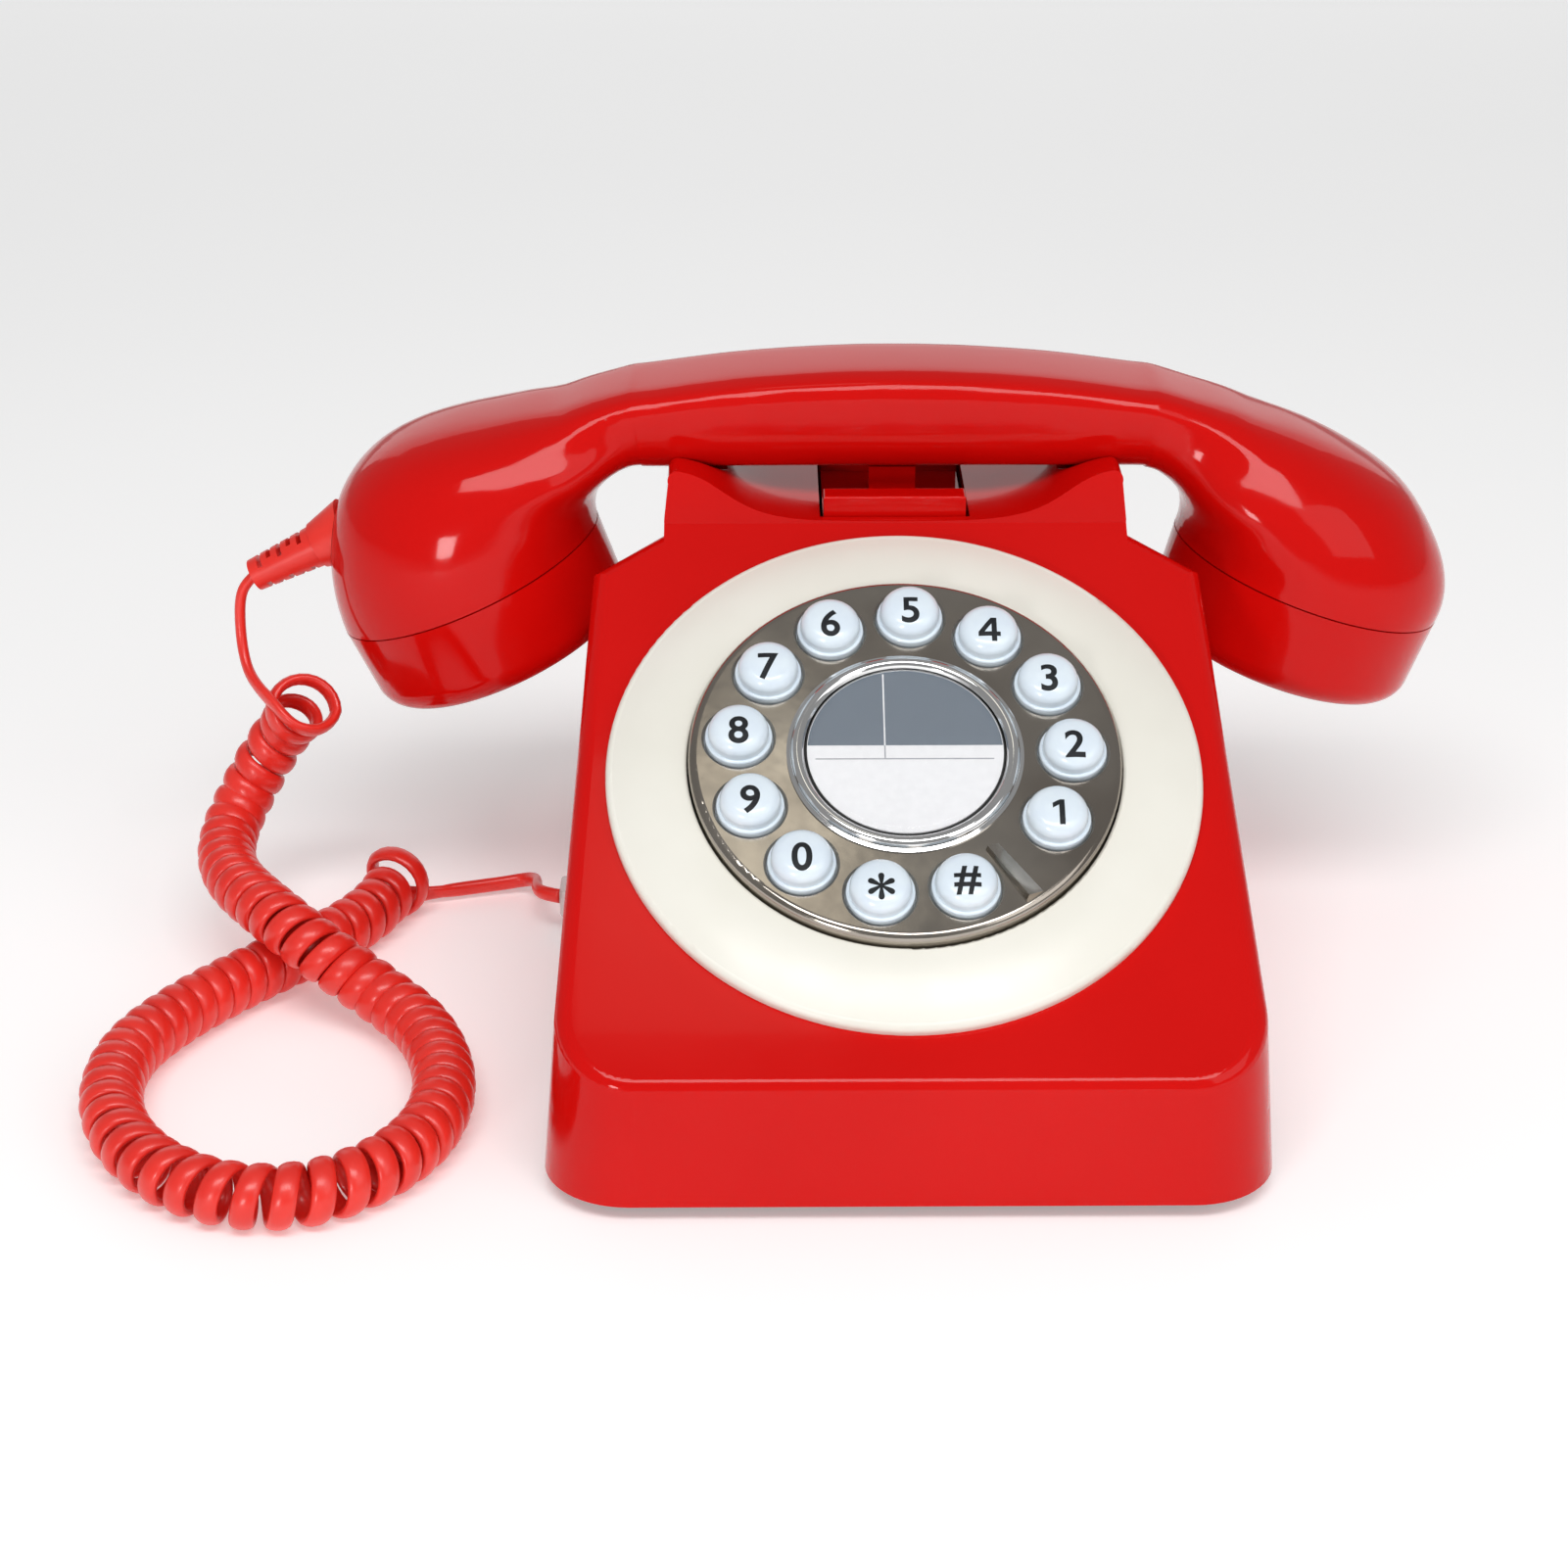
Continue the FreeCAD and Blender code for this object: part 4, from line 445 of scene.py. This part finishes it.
LEAD_ROUTE = (
    (-139.4, 35.0, 79.0), (-141.7, 35.0, 77.0), (-143.1, 34.9, 73.4), (-143.4, 34.4, 68.0), (-143.0, 32.8, 62.6),
    (-141.6, 29.8, 58.2), (-138.8, 26.2, 55.6), (-135.4, 22.4, 53.8), (-131.8, 19.1, 51.2),
)
COIL_ROUTE = (
    (-128.0, 22.5, 53.0), (-130.5, 27.0, 49.8), (-134.0, 30.3, 45.0), (-138.3, 31.0, 38.6), (-141.8, 30.5, 32.8),
    (-145.0, 28.5, 27.0), (-147.2, 22.5, 22.8), (-146.6, 11.5, 21.0), (-142.5, -0.5, 21.5), (-136.5, -10.0, 21.5),
    (-129.5, -18.5, 20.5), (-122.5, -24.0, 17.5), (-115.0, -27.0, 13.0), (-107.5, -30.5, 9.0), (-99.0, -39.0, 7.0),
    (-93.5, -53.0, 6.6), (-91.5, -68.0, 6.6), (-94.0, -83.0, 6.6), (-102.0, -96.0, 6.6), (-114.5, -104.5, 6.6),
    (-129.0, -104.5, 6.6), (-143.0, -96.5, 6.6), (-153.5, -83.0, 6.6), (-159.0, -66.5, 6.6), (-158.5, -49.0, 6.6),
    (-151.0, -33.0, 6.6), (-140.5, -18.5, 6.6), (-129.0, -5.5, 6.6), (-119.0, 7.0, 6.6), (-113.0, 19.0, 7.0),
    (-110.3, 30.0, 8.0),
)
TAIL_ROUTE = (
    (-110.3, 30.0, 2.6), (-105.5, 30.6, 2.8), (-99.5, 32.6, 2.7), (-93.0, 34.6, 2.7), (-87.0, 36.0, 2.9),
    (-82.4, 36.4, 3.6), (-80.0, 32.4, 5.4), (-79.2, 26.5, 7.4), (-79.0, 20.5, 9.2), (-77.2, 15.8, 10.2),
    (-73.3, 14.5, 10.1),
)
STRAND_WIDTH = 4.9
LEAD_WIDTH = 2.6
TAIL_WIDTH = 3.4
STRAND_THICK = 2.4
COIL_RING = 5.25
LOOP_RING = 7.3
START_SIDE = Vector((-0.70, -0.63, -0.33))
TIGHT_PITCH = 5.0
AXIS_STEP = 0.2
END_STEP = 0.9
STEPS_PER_TURN = 26
JOIN_REACH = 9
JOIN_ROUNDS = 24
STRAND_SIDES = 14


def spline_points(name, route):
    """Points read from one smooth NURBS line with the route's points as its control points, in millimetres."""
    curve = bpy.data.curves.new(name, "CURVE")
    curve.dimensions = "3D"
    curve.resolution_u = 40
    spline = curve.splines.new("NURBS")
    spline.points.add(len(route) - 1)
    for point, place in zip(spline.points, route):
        point.co = (place[0] * MM, place[1] * MM, place[2] * MM, 1.0)
    spline.order_u = 3
    spline.use_endpoint_u = True
    holder = bpy.data.objects.new(name, curve)
    bpy.context.collection.objects.link(holder)
    bpy.context.view_layer.update()
    mesh = bpy.data.meshes.new_from_object(holder.evaluated_get(bpy.context.evaluated_depsgraph_get()))
    bpy.data.objects.remove(holder)
    return [vertex.co / MM for vertex in mesh.vertices]


def evenly(points, gap):
    """The same line with points a fixed distance apart."""
    placed = [points[0].copy()]
    left = gap
    for before, after in zip(points, points[1:]):
        run = (after - before).length
        done = 0.0
        while run - done >= left:
            done += left
            placed.append(before.lerp(after, done / run))
            left = gap
        left -= run - done
    if (placed[-1] - points[-1]).length > gap / 2:
        placed.append(points[-1].copy())
    return placed


def tangents(points):
    ends = [points[0]] + points + [points[-1]]
    return [(after - before).normalized() for before, after in zip(ends, ends[2:])]


def smoothstep(value, low, high):
    share = max(0.0, min(1.0, (value - low) / (high - low)))
    return share * share * (3 - 2 * share)


def pitch_at(done, total):
    """Distance from one turn to the next: loose at the ends and where the coil lies furthest forward."""
    loose_start = 1 - smoothstep(done, 18, 34)
    front = smoothstep(done, 175, 200) * (1 - smoothstep(done, 250, 275))
    loose_end = smoothstep(done, total - 26, total - 12)
    return TIGHT_PITCH + 1.3 * loose_start + 1.2 * front + 0.9 * loose_end


def ring_at(done, total):
    """Radius of the strand's middle about the coil's axis."""
    first = 1 - smoothstep(done, 3.0, 9.0)
    last = smoothstep(done, total - 9.0, total - 2.0)
    return COIL_RING + (LOOP_RING - COIL_RING) * max(first * smoothstep(done, -2.0, 2.5), last)


def helix_points():
    """Middle of the strand through the coil, and the outward side at each point."""
    axis = evenly(spline_points("coil_line", COIL_ROUTE), AXIS_STEP)
    ahead = tangents(axis)
    side = (START_SIDE - ahead[0] * START_SIDE.dot(ahead[0])).normalized()
    sides = []
    for heading in ahead:
        side = (side - heading * side.dot(heading)).normalized()
        sides.append(side.copy())
    total = (len(axis) - 1) * AXIS_STEP
    turns = [0.0]
    for index in range(1, len(axis)):
        turns.append(turns[-1] + AXIS_STEP / pitch_at(index * AXIS_STEP, total))
    across = ahead[-1].cross(sides[-1])
    wanted = math.atan2(-across.z, -sides[-1].z)
    share = (-wanted / (2 * math.pi)) % 1.0
    count = round(turns[-1] - share) + share
    scale = count / turns[-1]
    middles = []
    outwards = []
    index = 0
    for step in range(int(count * STEPS_PER_TURN) + 1):
        goal = step / STEPS_PER_TURN / scale
        while index < len(turns) - 2 and turns[index + 1] < goal:
            index += 1
        part = min(1.0, (goal - turns[index]) / (turns[index + 1] - turns[index]))
        place = axis[index].lerp(axis[index + 1], part)
        heading = ahead[index].lerp(ahead[index + 1], part).normalized()
        side = sides[index].lerp(sides[index + 1], part).normalized()
        turn = -2 * math.pi * goal * scale
        outward = (side * math.cos(turn) + heading.cross(side) * math.sin(turn)).normalized()
        middles.append(place + outward * ring_at((index + part) * AXIS_STEP, total))
        outwards.append(outward)
    return middles, outwards


def eased(points, sides, centre, reach, rounds):
    """Irons out the join of two lines near one point."""
    low = max(1, centre - reach)
    high = min(len(points) - 2, centre + reach)
    for _ in range(rounds):
        moved = [(points[index - 1] + points[index + 1]) / 2 for index in range(low, high + 1)]
        for index, place in zip(range(low, high + 1), moved):
            fade = 1 - (abs(index - centre) / (reach + 1)) ** 2
            points[index] = points[index].lerp(place, 0.5 * fade)
    for index in range(low, high + 1):
        share = (index - low) / max(1, high - low)
        sides[index] = sides[low].lerp(sides[high], share).normalized()


def add_cord():
    """The whole strand as one flat-oval tube, from the boot through lead, coil and tail to the plug."""
    lead = evenly(spline_points("lead_line", LEAD_ROUTE), END_STEP)[:-1]
    tail = evenly(spline_points("tail_line", TAIL_ROUTE), END_STEP)[1:]
    coil, outwards = helix_points()
    lead_sides = []
    for index in range(len(lead)):
        share = smoothstep(index / (len(lead) - 1), 0.15, 0.95)
        lead_sides.append(Vector((-1, 0.1, 0)).lerp(outwards[0], share).normalized())
    tail_ahead = tangents(tail)
    tail_sides = []
    for index in range(len(tail)):
        share = smoothstep(index / (len(tail) - 1), 0.0, 0.25)
        level = Vector((tail_ahead[index].y, -tail_ahead[index].x, 0.0)).normalized()
        tail_sides.append(outwards[-1].lerp(level, share).normalized())
    points = lead + coil + tail
    widths = [LEAD_WIDTH + (STRAND_WIDTH - LEAD_WIDTH) * smoothstep(index / len(lead), 0.35, 1.0)
              for index in range(len(lead))]
    widths += [STRAND_WIDTH] * len(coil)
    widths += [STRAND_WIDTH + (TAIL_WIDTH - STRAND_WIDTH) * smoothstep(index / len(tail), 0.0, 0.2)
               for index in range(len(tail))]
    sides = lead_sides + outwards + tail_sides
    eased(points, sides, len(lead), JOIN_REACH, JOIN_ROUNDS)
    eased(points, sides, len(lead) + len(coil), JOIN_REACH, JOIN_ROUNDS)
    ahead = tangents(points)
    around = STRAND_SIDES
    vertices = []
    faces = []
    for place, heading, side, width in zip(points, ahead, sides, widths):
        out = (side - heading * side.dot(heading)).normalized()
        wide = heading.cross(out)
        for step in range(around):
            turn = 2 * math.pi * step / around
            offset = wide * (width / 2 * math.cos(turn)) + out * (STRAND_THICK / 2 * math.sin(turn))
            vertices.append((place + offset) * MM)
    for ring in range(len(points) - 1):
        for step in range(around):
            after = (step + 1) % around
            a = ring * around
            b = a + around
            faces.append((a + step, a + after, b + after, b + step))
    faces.append(tuple(reversed(range(around))))
    faces.append(tuple(range(len(vertices) - around, len(vertices))))
    mesh = bpy.data.meshes.new("curly_cord")
    mesh.from_pydata(vertices, [], faces)
    mesh.materials.append(MATERIALS["cord_red"])
    for polygon in mesh.polygons:
        polygon.use_smooth = True
    mesh.update()
    piece = bpy.data.objects.new("curly_cord", mesh)
    bpy.context.collection.objects.link(piece)
    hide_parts("cord_lead", "cord_coil", "cord_tail")
    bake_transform(piece)


# ---------------------------------------------------------------- scene

MATERIALS = make_materials()
add_camera()
add_light()
add_floor()
paint_nodes()
add_cord()
add_digits()
add_label()
add_window()
